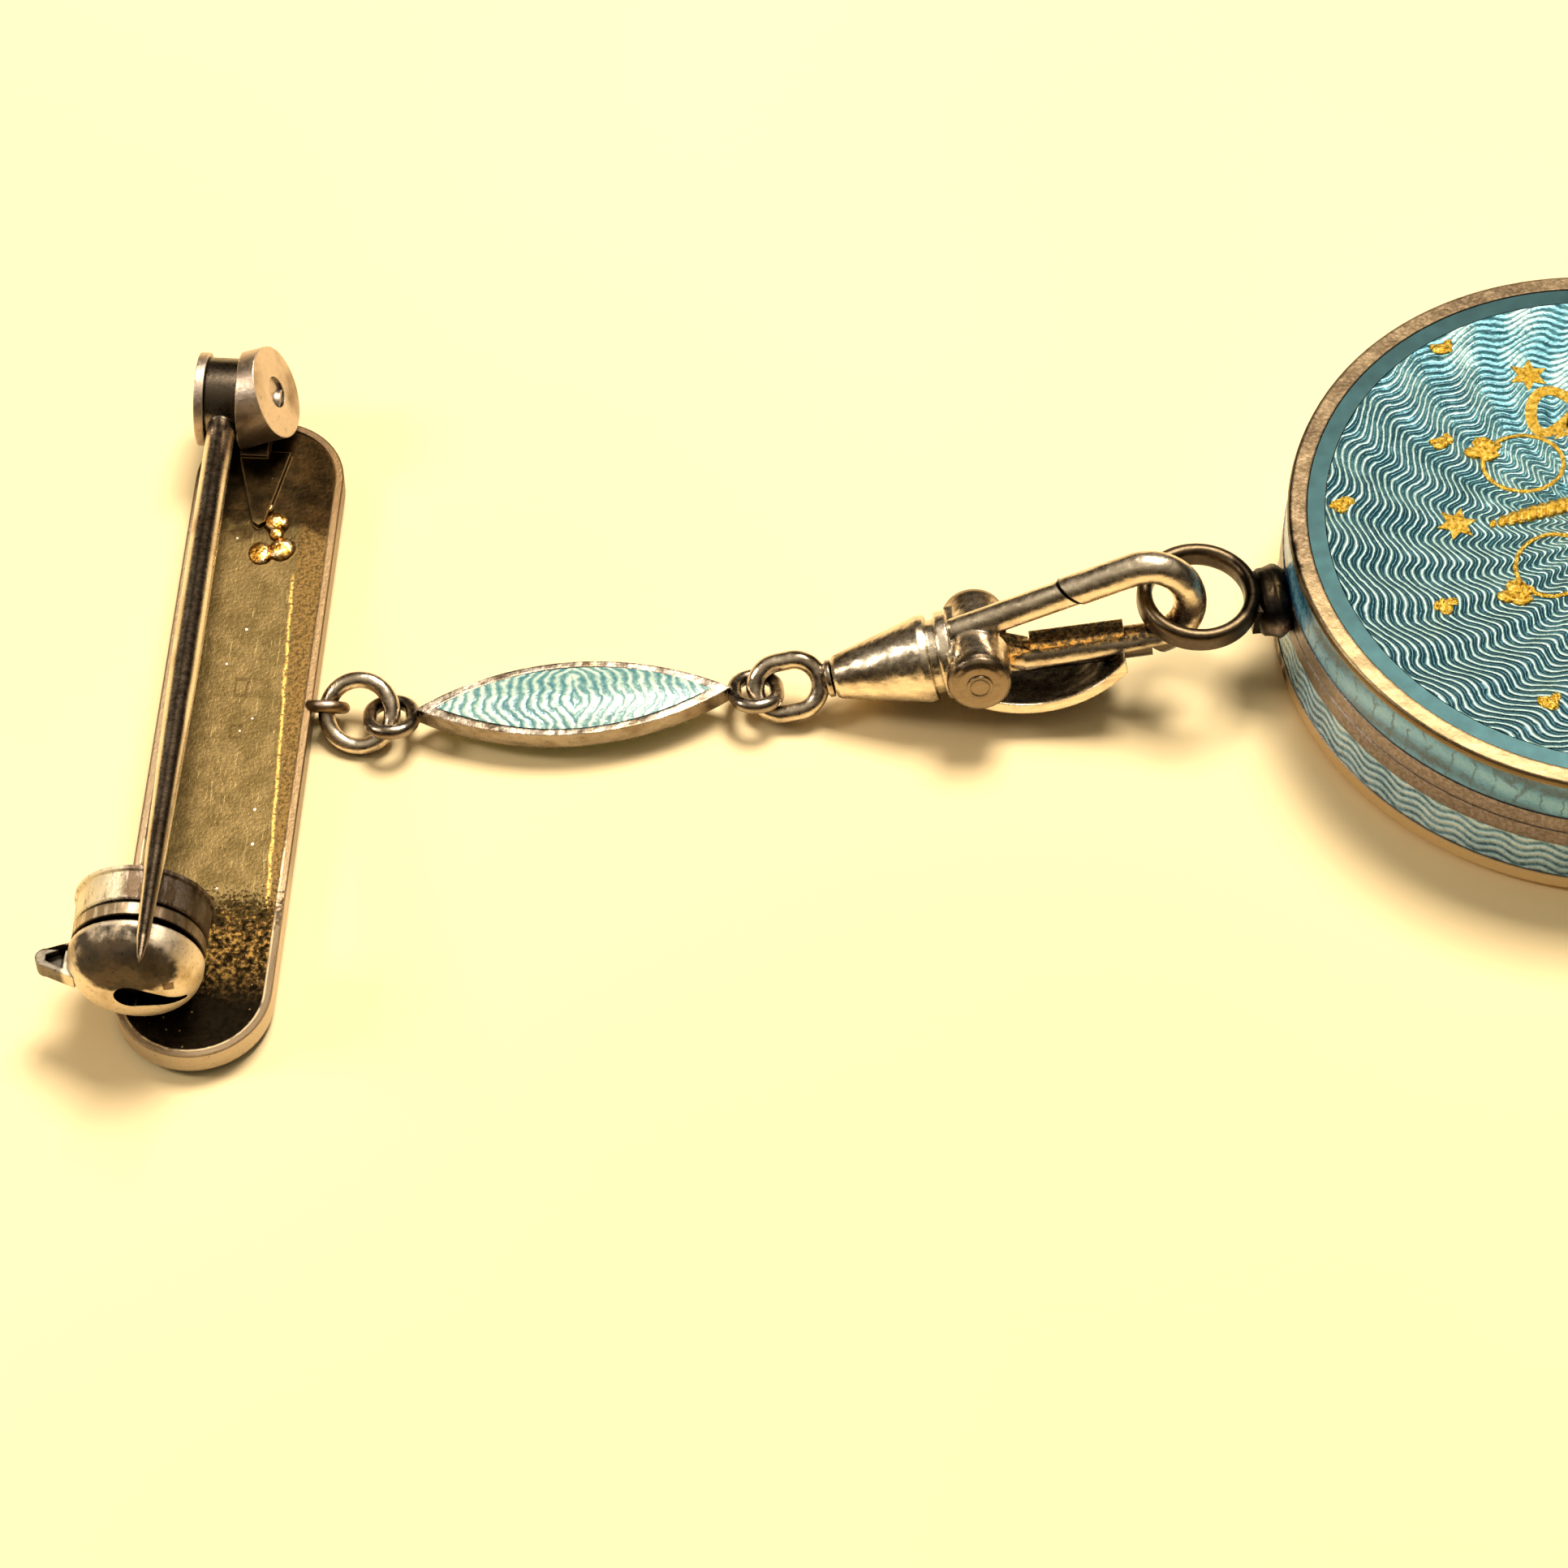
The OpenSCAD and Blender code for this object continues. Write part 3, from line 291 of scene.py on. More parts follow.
    # Rim and wall all round: a pale wall under a darker top, the top darker as painted shade, with dark
    # pits
    over = put(tree, "Math",
               put(tree, "Math", put(tree, "Math", y, operation="ABSOLUTE"), round_end,
                   operation="SUBTRACT"), 0.0, operation="MAXIMUM")
    edge = put(tree, "VectorMath", put(tree, "CombineXYZ", x, over), operation="LENGTH")
    rim = put(tree, "MapRange", edge.outputs["Value"], plate_side, rim_inside, **SMOOTH)
    pale = put(tree, "Mix", put(tree, "MapRange", z, rim_top - 0.06, rim_top, **SMOOTH), "CDBCA6", "9A8468",
               **COLOURS)
    pale = put(tree, "Mix", put(tree, "MapRange", grit, 0.4, 0.3, 0.0, 0.8, **SMOOTH), pale, "6A5240",
               **COLOURS)
    pale = put(tree, "Mix", put(tree, "MapRange", y, 9.5, 13.0, 0.0, 0.75, **SMOOTH), pale, "4E3822",
               **COLOURS)
    # Painted shade on the right side of the rim, away from the catch end
    painted_right_shade = put(tree, "Math", put(tree, "MapRange", x, 2.2, 2.9, 0.0, 0.7, **SMOOTH),
              put(tree, "MapRange", y, -9.0, -6.0, **SMOOTH), operation="MULTIPLY")
    # The edges of the solder tongue catch the light
    soft, agree = round_edges(tree, 0.1 * MM)
    tongue = put(tree, "Math", put(tree, "MapRange", agree, 0.97, 0.88, 0.0, 0.8, **SMOOTH),
                 put(tree, "MapRange", y, 7.5, 8.5, **SMOOTH), operation="MULTIPLY")
    plate = put(tree, "Mix", tongue, plate, "C29A62", **COLOURS)
    flat = put(tree, "Mix", rim, plate, put(tree, "Mix", painted_right_shade, pale, "7A6140", **COLOURS), **COLOURS)
    # The inner edge of the rim is rubbed bright, with breaks
    rubbed = put(tree, "Math", edge.outputs["Value"], rim_inside, 0.05, operation="COMPARE")
    rubbed = put(tree, "Math", rubbed,
                 put(tree, "Math", put(tree, "MapRange", cloud, 0.4, 0.5, 0.0, 0.85, **SMOOTH),
                     put(tree, "MapRange", y, -4.0, -8.0, **SMOOTH), operation="MULTIPLY"),
                 operation="MULTIPLY")
    flat = put(tree, "Mix", rubbed, flat, "F6DEB0", **COLOURS)
    # What stands over the plate: ears, foot and collar, warm brown with bright edges
    stand = put(tree, "MapRange", z, 1.85, 2.0, **SMOOTH)
    tall = patina(tree, surface, at, "D2BFAE", "7C664E", "0E0905", 0.5, 0.55, 2.6)
    # Wear lines along the collar, with a painted highlight on its left side and painted shade on its right
    worn = put(tree, "TexNoise", {"Vector": put(tree, "Mapping", {"Vector": at, "Scale": (3.0, 0.55, 3.0)}),
                                  "Scale": 1.0, "Detail": 4.0, "Roughness": 0.65})
    collar = put(tree, "MapRange", y, -9.0, -10.0, **SMOOTH)
    tall = put(tree, "Mix",
               put(tree, "Math", put(tree, "MapRange", worn, 0.44, 0.54, 0.0, 0.8, **SMOOTH), collar,
                   operation="MULTIPLY"), tall, "6B5232", **COLOURS)
    # Painted highlight on the left side of the collar
    gleam = put(tree, "Math", put(tree, "MapRange", x, -2.2, -2.7, 0.0, 0.85, **SMOOTH),
                put(tree, "MapRange", worn, 0.36, 0.5, **SMOOTH), operation="MULTIPLY")
    tall = put(tree, "Mix", put(tree, "Math", gleam, collar, operation="MULTIPLY"), tall, "FFF3D2",
               **COLOURS)
    # Painted shade on the right side of the collar
    shade = put(tree, "Math", put(tree, "MapRange", x, -1.6, -1.0, **SMOOTH), collar, operation="MULTIPLY")
    tall = put(tree, "Mix", put(tree, "Math", shade, 0.85, operation="MULTIPLY"), tall, "2E2114", **COLOURS)
    colour = put(tree, "Mix", stand, flat, tall, **COLOURS)
    put(tree, surface, {"Base Color": colour})
    rough = put(tree, "MapRange", grit, 0.3, 0.7, 0.28, 0.5)
    put(tree, surface, {"Roughness": rough})
    rugged = put(tree, "Math", crust, put(tree, "Math", grains, 5.0, operation="MULTIPLY"),
                 operation="MULTIPLY")
    height = put(tree, "Math", put(tree, "Math", pressed, -1.2, grit, operation="MULTIPLY_ADD"), rugged,
                 operation="ADD")
    bump = put(tree, "Bump", {"Height": height, "Strength": 0.6, "Distance": 0.03 * MM, "Normal": soft})
    put(tree, surface, {"Normal": bump})
    return material


def drawn_silver_wire(name, place, looks, toned_share=0.6, black_share=0.5, bright=None):
    """Drawn and soldered silver wire: bright on the outside, brown to black where fingers don't reach."""
    material, tree, surface, at = new_finish(name, place, Metallic=1.0)
    colour = patina(tree, surface, at, bright or looks.silver, "6E5A42", looks.tarnish, toned_share,
                    black_share, 1.8, dent=0.35)
    put(tree, surface, {"Base Color": colour})
    return material


def pin_wire(looks):
    """Hard drawn pin wire: a painted dark reflection along its top between two bright sides."""
    material, tree, surface, at = new_finish("nickel_silver_pin_drawn", PIN, Metallic=1.0)
    colour = patina(tree, surface, at, looks.silver, "93795A", looks.tarnish, 0.35, 0.3, 2.5, (0.2, 0.34),
                    0.0)
    x, y = put(tree, "SeparateXYZ", at).outputs[:2]
    # A painted reflection of dark surroundings: a brown streak along the top of the stem
    wander = put(tree, "TexNoise", {"Vector": at, "Scale": 0.35, "Detail": 2.0})
    across = put(tree, "Math", wander, 0.24, put(tree, "Math", x, 0.26, operation="SUBTRACT"),
                 operation="MULTIPLY_ADD")
    streak = put(tree, "Math",
                 put(tree, "MapRange", put(tree, "Math", across, operation="ABSOLUTE"), 0.34, 0.16, 0.0,
                     0.93, **SMOOTH), put(tree, "MapRange", y, -1.2, -2.4, **SMOOTH), operation="MULTIPLY")
    colour = put(tree, "Mix", streak, colour, "4A3A2A", **COLOURS)
    colour = put(tree, "Mix", put(tree, "MapRange", y, -2.6, -1.2, 0.0, 0.9, **SMOOTH), colour, "2C1E10",
                 **COLOURS)
    put(tree, surface, {"Base Color": colour})
    return material


def turned_silver_sleeve(looks):
    """Turned silver sleeve: pale and sandy at its sides, dark brown on its dome, with painted black shade
    in its grooves.
    """
    material, tree, surface, at = new_finish("sterling_silver_sleeve_turned", BAR, Metallic=1.0)
    silver = patina(tree, surface, at, "EBDBC2", "B9A27C", looks.tarnish, 0.4, 0.7, 1.3, (0.42, 0.6), 0.2)
    x, y, z = put(tree, "SeparateXYZ", at).outputs
    # Places on the sleeve: forward from its rear, right of its axis and up from it
    rear_y, axis_x, axis_z = -11.1, 1.9, 4.4
    reach = put(tree, "Math", rear_y, y, operation="SUBTRACT")
    right = put(tree, "Math", x, axis_x, operation="ADD")
    up = put(tree, "Math", z, axis_z, operation="SUBTRACT")
    wander = put(tree, "TexNoise", {"Vector": at, "Scale": 1.0, "Detail": 5.0, "Roughness": 0.6})
    sand = put(tree, "TexNoise", {"Vector": at, "Scale": 7.0, "Detail": 4.0, "Roughness": 0.7})
    silver = put(tree, "Mix", put(tree, "MapRange", sand, 0.6, 0.68, 0.0, 0.75, **SMOOTH), silver, "5A4428",
                 **COLOURS)
    # The dark patch on the dome, oval and open to the right
    a = put(tree, "Math", put(tree, "Math", right, 0.2, operation="ADD"), 2.15, operation="DIVIDE")
    b = put(tree, "Math", put(tree, "Math", up, 1.42, operation="SUBTRACT"), 1.4, operation="DIVIDE")
    oval = put(tree, "Math",
               put(tree, "Math", put(tree, "Math", a, a, operation="MULTIPLY"),
                   put(tree, "Math", b, b, operation="MULTIPLY"), operation="ADD"), operation="SQRT")
    oval = put(tree, "Math", wander, 0.6, put(tree, "Math", oval, 0.3, operation="SUBTRACT"),
               operation="MULTIPLY_ADD")
    dome = put(tree, "MapRange", reach, 2.75, 2.95, **SMOOTH)
    patch = put(tree, "Math", put(tree, "MapRange", oval, 1.05, 0.85, 0.0, 0.9, **SMOOTH), dome,
                operation="MULTIPLY")
    colour = put(tree, "Mix", patch, silver,
                 put(tree, "Mix", put(tree, "MapRange", wander, 0.4, 0.62, **SMOOTH), "1A110A", "4C3A26",
                     **COLOURS), **COLOURS)
    dull = surface.inputs["Roughness"].links[0].from_socket
    put(tree, surface, {"Roughness": put(tree, "Math", patch, 0.25, dull, operation="MULTIPLY_ADD")})
    # Wear lines along the rear ring, with painted shade on its right
    lines = put(tree, "TexNoise", {"Vector": put(tree, "Mapping", {"Vector": at, "Scale": (3.4, 0.5, 3.4)}),
                                   "Scale": 1.0, "Detail": 4.0, "Roughness": 0.65})
    ring = put(tree, "MapRange", reach, 2.75, 2.6, **SMOOTH)
    colour = put(tree, "Mix",
                 put(tree, "Math", put(tree, "MapRange", lines, 0.42, 0.56, 0.0, 0.7, **SMOOTH), ring,
                     operation="MULTIPLY"), colour, "8C7048", **COLOURS)
    # Painted shade on the right of the rear ring
    shade = put(tree, "Math", put(tree, "MapRange", right, 0.5, 0.9, 0.0, 0.8, **SMOOTH), ring,
                operation="MULTIPLY")
    colour = put(tree, "Mix", shade, colour, "4A3723", **COLOURS)
    wear = put(tree, "Math",
               put(tree, "Math", put(tree, "Math", right, 1.55, operation="SUBTRACT"),
                   operation="ABSOLUTE"),
               put(tree, "Math", put(tree, "Math", up, 0.55, operation="SUBTRACT"), operation="ABSOLUTE"),
               operation="MAXIMUM")
    colour = put(tree, "Mix",
                 put(tree, "Math", put(tree, "MapRange", wear, 0.26, 0.18, 0.0, 0.85, **SMOOTH), dome,
                     operation="MULTIPLY"), colour, "5A4126", **COLOURS)
    # Painted shade, near black: in the groove between ring and dome, on the tab, in the gap behind the
    # ring, and in the slot in the end
    groove = put(tree, "MapRange",
                 put(tree, "Math", put(tree, "Math", reach, 2.47, operation="SUBTRACT"),
                     operation="ABSOLUTE"), 0.2, 0.12, **SMOOTH)
    tab = put(tree, "MapRange", right, -2.75, -3.0, 0.0, 0.75, **SMOOTH)
    groove = put(tree, "Math", groove, put(tree, "MapRange", reach, 1.82, 1.74, **SMOOTH),
                 operation="MAXIMUM")
    out = put(tree, "Math", right, 0.055, operation="ADD")
    share = put(tree, "Clamp", {"Value": put(tree, "Math", out, 2.1, operation="DIVIDE")})
    away = put(tree, "CombineXYZ",
               {"X": put(tree, "Math", share, -2.1, out, operation="MULTIPLY_ADD"),
                "Y": put(tree, "Math", share, 0.2, put(tree, "Math", up, 0.3, operation="ADD"),
                         operation="MULTIPLY_ADD")})
    span = put(tree, "VectorMath", away, operation="LENGTH").outputs["Value"]
    slot = put(tree, "MapRange", put(tree, "Math", share, 0.555, span, operation="MULTIPLY_ADD"), 0.7, 0.68,
               **SMOOTH)
    slot = put(tree, "Math", slot, dome, operation="MULTIPLY")
    colour = put(tree, "Mix",
                 put(tree, "Math", slot, put(tree, "Math", groove, tab, operation="MAXIMUM"),
                     operation="MAXIMUM"), colour, "060402", **COLOURS)
    put(tree, surface, {"Base Color": colour})
    return material


def cast_silver_clip(name, looks, black_share):
    """Cast and polished silver of the clip: fine bright streaks along it, brown toning at its root."""
    material, tree, surface, at = new_finish(name, CLIP, Metallic=1.0)
    silver = patina(tree, surface, at, looks.silver, "94795C", looks.tarnish, 0.35, black_share, 2.2,
                    (0.2, 0.34), 0.4)
    x, y, z = put(tree, "SeparateXYZ", at).outputs
    # Polishing lines about 0.05 mm apart, along the clip
    streaks = put(tree, "TexNoise",
                  {"Vector": put(tree, "Mapping", {"Vector": at, "Scale": (0.3, 7.0, 7.0)}), "Scale": 1.0,
                   "Detail": 3.0, "Roughness": 0.6})
    colour = put(tree, "Mix", put(tree, "MapRange", streaks, 0.5, 0.66, 0.0, 0.5, **SMOOTH), silver,
                 "FFF1D2", **COLOURS)
    # The ends of the rivet boss are browner
    colour = put(tree, "Mix",
                 put(tree, "MapRange", put(tree, "Math", y, operation="ABSOLUTE"), 1.9, 2.3, 0.0, 0.8,
                     **SMOOTH), colour, "5F4930", **COLOURS)
    # The seam where the hook closes on the fixed arm
    across = put(tree, "Math", x, 0.7547, put(tree, "Math", z, 0.656, -4.647, operation="MULTIPLY_ADD"),
                 operation="MULTIPLY_ADD")
    seam = put(tree, "Math",
               put(tree, "MapRange", put(tree, "Math", across, operation="ABSOLUTE"), 0.12, 0.06, **SMOOTH),
               put(tree, "MapRange", z, 0.6, 0.9, **SMOOTH), operation="MULTIPLY")
    # Painted shade in the hollow of the leaf, and the rough spring strip between its arms
    leaf = put(tree, "Math",
               put(tree, "MapRange", put(tree, "Math", y, operation="ABSOLUTE"), 1.44, 1.3, **SMOOTH),
               put(tree, "MapRange", z, -1.1, -1.3, **SMOOTH), operation="MULTIPLY")
    strip = put(tree, "Math",
                put(tree, "MapRange", put(tree, "Math", y, operation="ABSOLUTE"), 0.62, 0.52, 0.0, 0.85,
                    **SMOOTH),
                put(tree, "Math", put(tree, "MapRange", x, 0.9, 1.3, **SMOOTH),
                    put(tree, "MapRange", z, -1.2, -1.0, **SMOOTH), operation="MULTIPLY"),
                operation="MULTIPLY")
    low = put(tree, "Math", x, -0.086, 0.55, operation="MULTIPLY_ADD")
    strip = put(tree, "Math", strip,
                put(tree, "MapRange", put(tree, "Math", z, low, operation="SUBTRACT"), 0.5, 0.3, **SMOOTH),
                operation="MULTIPLY")
    crumbs = put(tree, "TexNoise", {"Vector": at, "Scale": 4.5, "Detail": 5.0, "Roughness": 0.75})
    rust = put(tree, "Mix", put(tree, "MapRange", crumbs, 0.44, 0.6, **SMOOTH), "1A0F07", "E2B264",
               **COLOURS)
    colour = put(tree, "Mix", strip, colour, rust, **COLOURS)
    # Painted shade over the hollow of the leaf
    colour = put(tree, "Mix", put(tree, "Math", leaf, 0.9, operation="MULTIPLY"), colour, "1C120A",
                 **COLOURS)
    colour = put(tree, "Mix", seam, colour, "070503", **COLOURS)
    put(tree, surface, {"Base Color": colour})
    return material


def satin_silver_case():
    """Stamped silver case, worn satin: brown toning with fine pits, and black in the root of the bow."""
    material, tree, surface, at = new_finish("silver_case_satin", WATCH, Metallic=1.0)
    silver = patina(tree, surface, at, "8C7654", "655239", "22160E", 0.5, 0.35, 2.4, (0.26, 0.42), 0.15)
    x, y, z = put(tree, "SeparateXYZ", at).outputs
    grain = put(tree, "TexNoise", {"Vector": at, "Scale": 5.5, "Detail": 4.0, "Roughness": 0.75})
    colour = put(tree, "Mix", put(tree, "MapRange", grain, 0.52, 0.7, 0.0, 0.55, **SMOOTH), silver,
                 "BCA47C", **COLOURS)
    pits = put(tree, "MapRange", grain, 0.34, 0.28, 0.0, 0.8, **SMOOTH)
    colour = put(tree, "Mix", pits, colour, "3A2817", **COLOURS)
    # The side is greyer than the rim, which is dark but for a painted highlight, a bright stretch below the
    # bow
    colour = put(tree, "Mix", put(tree, "MapRange", z, 5.4, 5.1, 0.0, 0.75, **SMOOTH), colour,
                 put(tree, "Mix", put(tree, "MapRange", grain, 0.4, 0.6, **SMOOTH), "6C6468", "958D97",
                     **COLOURS), **COLOURS)
    # Painted highlight on the rim below the bow
    below = put(tree, "MapRange",
                put(tree, "Math", x, -0.55, put(tree, "Math", y, -0.83, operation="MULTIPLY"),
                    operation="MULTIPLY_ADD"), 7.0, 12.0, **SMOOTH)
    rim = put(tree, "MapRange", z, 7.15, 7.3, 0.0, 0.8, **SMOOTH)
    colour = put(tree, "Mix", rim, colour,
                 put(tree, "Mix", below,
                     put(tree, "Mix", put(tree, "MapRange", grain, 0.4, 0.6, **SMOOTH), "2A221A", "4A3F34",
                         **COLOURS), "64563F", **COLOURS), **COLOURS)
    # The bezel edge near the floor is paler: a painted highlight
    colour = put(tree, "Mix", put(tree, "MapRange", z, 1.1, 0.9, 0.0, 0.85, **SMOOTH), colour, "FFE9C6",
                 **COLOURS)
    # The bow is browner, and its root black
    colour = put(tree, "Mix", put(tree, "MapRange", x, -14.6, -15.0, 0.0, 0.85, **SMOOTH), colour, "4A3F31",
                 **COLOURS)
    wander = put(tree, "TexNoise", {"Vector": at, "Scale": 1.5, "Detail": 5.0})
    reach = put(tree, "Math", wander, 1.6, put(tree, "Math", x, 0.8, operation="SUBTRACT"),
                operation="MULTIPLY_ADD")
    root = put(tree, "Math", put(tree, "MapRange", reach, -13.5, -13.8, 0.0, 0.93, **SMOOTH),
               put(tree, "MapRange", reach, -16.1, -15.7, **SMOOTH), operation="MULTIPLY")
    root = put(tree, "Math", root,
               put(tree, "MapRange", put(tree, "Math", y, operation="ABSOLUTE"), 1.9, 1.3, **SMOOTH),
               operation="MULTIPLY")
    colour = put(tree, "Mix", root, colour, "110C07", **COLOURS)
    put(tree, surface, {"Base Color": colour})
    return material


def gold_foil(looks):
    """Gold foil, punched and fired on the enamel: warm, crumpled and bright on its edges."""
    material, tree, surface, at = new_finish("gold_foil_fired", Metallic=1.0, Roughness=0.28)
    crumple = put(tree, "TexNoise", {"Vector": at, "Scale": 5.0, "Detail": 5.0, "Roughness": 0.7})
    colour = put(tree, "ValToRGB", crumple, stops=((0.32, "7A5512"), (0.7, "FFE88C"), (0.5, looks.gold)))
    bump = put(tree, "Bump", {"Height": crumple, "Strength": 0.9, "Distance": 0.12 * MM})
    put(tree, surface, {"Base Color": colour, "Normal": bump})
    return material


def hard_solder():
    """Silver solder, run and left as it set: small bright gold drops with dark seams."""
    material, tree, surface, at = new_finish("silver_solder_run", BAR, Metallic=1.0, Roughness=0.25)
    crumple = put(tree, "TexNoise", {"Vector": at, "Scale": 2.6, "Detail": 5.0, "Roughness": 0.65})
    colour = put(tree, "ValToRGB", crumple, stops=((0.34, "4A2F10"), (0.62, "FFE9B8"), (0.48, "D79A3C")))
    bump = put(tree, "Bump", {"Height": crumple, "Strength": 0.8, "Distance": 0.1 * MM})
    put(tree, surface, {"Base Color": colour, "Normal": bump})
    return material


def enamel_over_cuts(name, place, dark, mid, light, cuts, relief=0.05, veil=None, metal=0.5,
                     rough=(0.22, 0.4), line=0.55, coat=0.3):
    """Clear glass enamel fired over engine turning: cut lines that shine through a smooth, wet surface.

    cuts(tree, at) gives the height of the cut metal from 0 to 1, veil(tree, at) the share of dark cracks,
    relief the depth of the cuts in millimetres, and line how far they part the light from the dark."""
    material, tree, surface, at = new_finish(name, place, Metallic=metal, Coat_Weight=coat,
                                             Coat_Roughness=0.05, Coat_IOR=1.5)
    height = cuts(tree, at)
    cloud = put(tree, "TexNoise", {"Vector": at, "Scale": 0.55, "Detail": 4.0, "Roughness": 0.6})
    fleck = put(tree, "TexNoise", {"Vector": at, "Scale": 4.2, "Detail": 3.0, "Roughness": 0.6})
    shine = put(tree, "Math", cloud, 0.7,
                put(tree, "Math", height, line, -0.5 * line, operation="MULTIPLY_ADD"),
                operation="MULTIPLY_ADD")
    shine = put(tree, "Math", fleck, 0.5, put(tree, "Math", shine, 0.25, operation="SUBTRACT"),
                operation="MULTIPLY_ADD")
    shade = put(tree, "ValToRGB", shine, stops=((0.02, dark), (0.72, light), (0.34, mid)))
    colour = put(tree, "Mix", veil(tree, at), shade, dark, **COLOURS) if veil else shade
    put(tree, surface, {"Base Color": colour})
    gloss = put(tree, "MapRange", fleck, 0.35, 0.65, *rough)
    put(tree, surface, {"Roughness": gloss})
    rugged = put(tree, "Math", fleck, 0.5, height, operation="MULTIPLY_ADD")
    bump = put(tree, "Bump", {"Height": rugged, "Strength": 1.0, "Distance": relief * MM})
    put(tree, surface, {"Normal": bump})
    return material


def polar(tree, at):
    """The angle and the radius of a place round the axis of a piece."""
    x, y = put(tree, "SeparateXYZ", at).outputs[:2]
    flat = put(tree, "CombineXYZ", x, y)
    radius = put(tree, "VectorMath", flat, operation="LENGTH").outputs["Value"]
    return put(tree, "Math", y, x, operation="ARCTAN2"), radius


def furrows(tree, level, spacing):
    """Parallel cut lines, from 0 to 1, a spacing apart in millimetres of level."""
    turn = put(tree, "Math", level, 2 * pi / spacing, operation="MULTIPLY")
    return put(tree, "Math", put(tree, "Math", turn, operation="SINE"), 0.5, 0.5, operation="MULTIPLY_ADD")


def wave_rings(looks):
    """Engine turning of the back: rings of waves whose crests drift into spiral rays."""
    def cuts(tree, at):
        angle, radius = polar(tree, at)
        drift = put(tree, "Math", radius, 1.25, operation="MULTIPLY")
        wander = put(tree, "TexNoise", {"Vector": at, "Scale": 0.9, "Detail": 2.0})
        drift = put(tree, "Math", wander, 1.6, drift, operation="MULTIPLY_ADD")
        phase = put(tree, "Math", angle, float(looks.wave_count), drift, operation="MULTIPLY_ADD")
        swell = put(tree, "Math", put(tree, "Math", phase, operation="SINE"), looks.wave_height / MM,
                    radius, operation="MULTIPLY_ADD")
        lines = furrows(tree, swell, looks.wave_spacing / MM)
        # The lines stand out on the side of the bow and blur towards the far side: in the colour this is a
        # painted highlight, in the bump deeper cuts
        x, y = put(tree, "SeparateXYZ", at).outputs[:2]
        side = put(tree, "Math", wander, 14.0,
                   put(tree, "Math", x, -0.75, put(tree, "Math", y, -0.66, operation="MULTIPLY"),
                       operation="MULTIPLY_ADD"), operation="MULTIPLY_ADD")
        depth = put(tree, "MapRange", side, 3.0, 16.0, 0.25, 1.7)
        # One flank of each wave is turned to the light, which makes the rays
        rays = put(tree, "Math", put(tree, "Math", phase, operation="COSINE"), 0.2, 0.5,
                   operation="MULTIPLY_ADD")
        return put(tree, "Math", put(tree, "Math", lines, 0.5, operation="SUBTRACT"), depth, rays,
                   operation="MULTIPLY_ADD")
    return cuts


def wave_bands(count, spacing, height):
    """Engine turning of the side: waves that run round it."""
    def cuts(tree, at):
        angle = polar(tree, at)[0]
        z = put(tree, "SeparateXYZ", at).outputs["Z"]
        swell = put(tree, "Math", put(tree, "Math", angle, float(count), operation="MULTIPLY"),
                    operation="SINE")
        return furrows(tree, put(tree, "Math", swell, height, z, operation="MULTIPLY_ADD"), spacing)
    return cuts


def upright_cracks(spacing, low, high):
    """Hair cracks up and down a band, a spacing apart, and dark edges where the glass meets the metal."""
    def veil(tree, at):
        angle = polar(tree, at)[0]
        z = put(tree, "SeparateXYZ", at).outputs["Z"]
        wander = put(tree, "TexNoise", {"Vector": at, "Scale": 1.4, "Detail": 3.0})
        sheet = put(tree, "CombineXYZ",
                    {"X": put(tree, "Math", angle, CASE_RADIUS / spacing, wander, operation="MULTIPLY_ADD"),
                     "Y": put(tree, "Math", z, 0.25, operation="MULTIPLY")})
        cells = put(tree, "TexVoronoi", {"Vector": sheet, "Scale": 1.0, "Randomness": 0.8},
                    feature="DISTANCE_TO_EDGE", voronoi_dimensions="2D")
        crack = put(tree, "Math",
                    put(tree, "MapRange", cells.outputs["Distance"], 0.09, 0.0, 0.0, 0.85, **SMOOTH),
                    put(tree, "MapRange", wander, 0.3, 0.5, **SMOOTH), operation="MULTIPLY")
        middle = put(tree, "Math", put(tree, "Math", z, (low + high) / 2, operation="SUBTRACT"),
                     operation="ABSOLUTE")
        rim = put(tree, "MapRange", put(tree, "Math", wander, 0.2, middle, operation="MULTIPLY_ADD"),
                  (high - low) / 2 - 0.08, (high - low) / 2 + 0.1, 0.0, 0.8, **SMOOTH)
        return put(tree, "Math", crack, rim, operation="MAXIMUM")
    return veil


def cross_cuts(spacing):
    """Engine turning of a long piece: wavy lines across it that bow outwards from its middle."""
    def cuts(tree, at):
        x, y = put(tree, "SeparateXYZ", at).outputs[:2]
        bow = put(tree, "Math", put(tree, "Math", y, 2.0, operation="POWER"), 0.28,
                  put(tree, "Math", x, operation="ABSOLUTE"), operation="MULTIPLY_ADD")
        ripple = put(tree, "Math", put(tree, "Math", y, 4.2, operation="MULTIPLY"), operation="SINE")
        jitter = put(tree, "TexNoise", {"Vector": at, "Scale": 2.6, "Detail": 3.0})
        bow = put(tree, "Math", jitter, 0.5, bow, operation="MULTIPLY_ADD")
        return furrows(tree, put(tree, "Math", ripple, 0.12, bow, operation="MULTIPLY_ADD"), spacing)
    return cuts


def plain_enamel(name, colour, deep, place=WATCH, metal=0.0, coat=1.0):
    """Even glass enamel: deep, smooth and wet, a little cloudy."""
    material, tree, surface, at = new_finish(name, place, Metallic=metal, Roughness=0.3, Coat_Weight=coat,
                                             Coat_Roughness=0.03)
    cloud = put(tree, "TexNoise", {"Vector": at, "Scale": 1.2, "Detail": 5.0})
    shade = put(tree, "ValToRGB", cloud, stops=((0.3, deep), (0.7, colour)))
    put(tree, surface, {"Base Color": shade})
    return material


